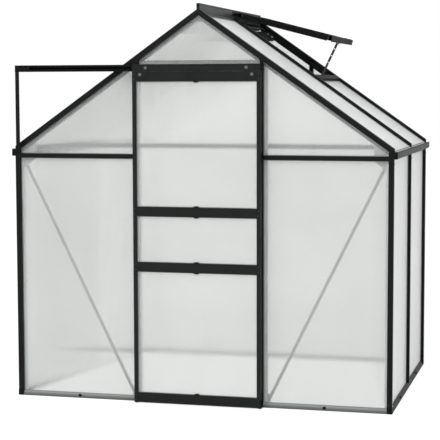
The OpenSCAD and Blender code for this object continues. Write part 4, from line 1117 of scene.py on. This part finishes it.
tab = door_tab()
door_tabs = []
for low, high in DOOR_PANES:
    hung = Matrix.Translation((0, DOOR_FACE, high)) @ Matrix.Scale(-1, 4, UP)
    door_tabs += [copy_to(tab, Matrix.Translation((0, DOOR_FACE, low))), copy_to(tab, hung)]
bpy.data.objects.remove(tab)
glazing_tabs = mount(door_tabs, "door_tabs", black_plastic, "door")
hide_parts("door_clips")
print("tabs on the door:", len(door_tabs))

# %% Copy the round head to the sills
HEAD_SIZE = (0.0085, 0.0016)
HEAD_Z = 0.012
HEAD_SUNK = 0.0035
FRONT_REACH = 0.6225
REAR_REACH = 0.620
SIDE_REACH = 0.31975

head = round_head(*HEAD_SIZE)
sill_heads = [
    copy_to(head, facing((0, end, 0), x, end * (HALF_L - HEAD_SUNK), HEAD_Z))
    for end, reach in ((-1, FRONT_REACH), (1, REAR_REACH)) for x in (-reach, reach)
]
sill_heads += [
    copy_to(head, facing((side, 0, 0), side * (HALF_W - HEAD_SUNK), y, HEAD_Z))
    for side in (-1, 1) for y in (-SIDE_REACH, SIDE_REACH)
]
bpy.data.objects.remove(head)
mount(sill_heads, "sill_heads", black_plastic, "frame")
print("heads on the sills:", len(sill_heads))

# %% [markdown]
# ## Floor, backdrop and light
# The house stands on a plain white studio floor that runs into a white backdrop. A sheet of
# paper, bent up behind the house, could be modelled too; a wide floor under a white world has
# no bend to hide. Rays that come straight from the camera see the floor as plain white with
# only a soft shadow, and rays that come through a sheet see it a little darker, as the sheets
# in the picture show it. For all other rays it is a pale matt floor.

# %% Studio helpers
WHITE = (1, 1, 1, 1)


def grey(value):
    """A plain grey of the given brightness."""
    return [value, value, value, 1.0]


def seen_rays(tree):
    """1 for rays from the camera, mirrored or through a sheet, and the mask of the last."""
    rays = add(tree, "ShaderNodeLightPath")
    direct = maths(tree, "MAXIMUM", rays.outputs["Is Camera Ray"],
                   rays.outputs["Is Glossy Ray"])
    through = rays.outputs["Is Transmission Ray"]
    return maths(tree, "MAXIMUM", direct, through), through


print("white:", WHITE, "and a pale grey:", grey(0.9))

# %% Floor
FLOOR_SIDE = 60
FLOOR_PALE = 0.9
FLOOR_GLOW = 0.78
THROUGH_GLOW = 0.60
SHADOW_SHARE = 0.32

floor_material = bpy.data.materials.new("studio_floor")
floor_material.use_nodes = True
floor_tree = floor_material.node_tree
floor_tree.nodes.clear()
floor_out = add(floor_tree, "ShaderNodeOutputMaterial")
seen, through = seen_rays(floor_tree)
matt = add(floor_tree, "ShaderNodeBsdfDiffuse")
feed(floor_tree, matt, Color=mix_colour(floor_tree, seen, grey(FLOOR_PALE), grey(SHADOW_SHARE)))
glow = add(floor_tree, "ShaderNodeEmission")
full = maths(floor_tree, "MULTIPLY", seen, FLOOR_GLOW)
lost = maths(floor_tree, "MULTIPLY", through, FLOOR_GLOW - THROUGH_GLOW)
feed(floor_tree, glow, Color=WHITE, Strength=maths(floor_tree, "SUBTRACT", full, lost))
mixed = add(floor_tree, "ShaderNodeAddShader")
floor_tree.links.new(matt.outputs[0], mixed.inputs[0])
floor_tree.links.new(glow.outputs[0], mixed.inputs[1])
feed(floor_tree, floor_out, Surface=mixed.outputs[0])
floor = fresh(bpy.ops.mesh.primitive_plane_add, size=FLOOR_SIDE, location=(0, 0, 0))
floor.name = "studio_floor"
floor.data.materials.append(floor_material)
print("floor:", floor.name, FLOOR_SIDE, "m wide")

# %% World and lamp
SKY_LIGHT = 0.90
SKY_SEEN = 1.0
LAMP_PLACE = Vector((-1.0, -5.0, 5.5))
LAMP_AIM = Vector((0, 0, 0.9))
LAMP_SIZE = (4.0, 3.0)
LAMP_WATTS = 260

world = bpy.data.worlds.new("studio_world")
bpy.context.scene.world = world
world.use_nodes = True
world_tree = world.node_tree
world_tree.nodes.clear()
world_out = add(world_tree, "ShaderNodeOutputWorld")
backdrop = seen_rays(world_tree)[0]
strength = add(world_tree, "ShaderNodeMapRange")
feed(world_tree, strength, Value=backdrop, To_Min=SKY_LIGHT, To_Max=SKY_SEEN)
sky = add(world_tree, "ShaderNodeBackground")
feed(world_tree, sky, Color=WHITE, Strength=strength.outputs[0])
feed(world_tree, world_out, Surface=sky.outputs[0])

lamp_data = bpy.data.lights.new("soft_box", "AREA")
lamp_data.shape = "RECTANGLE"
lamp_data.size, lamp_data.size_y = LAMP_SIZE
lamp_data.energy = LAMP_WATTS
soft_box = bpy.data.objects.new("soft_box", lamp_data)
bpy.context.scene.collection.objects.link(soft_box)
soft_box.location = LAMP_PLACE
soft_box.rotation_euler = (LAMP_AIM - LAMP_PLACE).to_track_quat("-Z", "Y").to_euler()
print("lamp:", lamp_data.energy, "W")

# %% [markdown]
# ## Finish

# %% Finish
bpy.context.scene.view_settings.view_transform = "Standard"
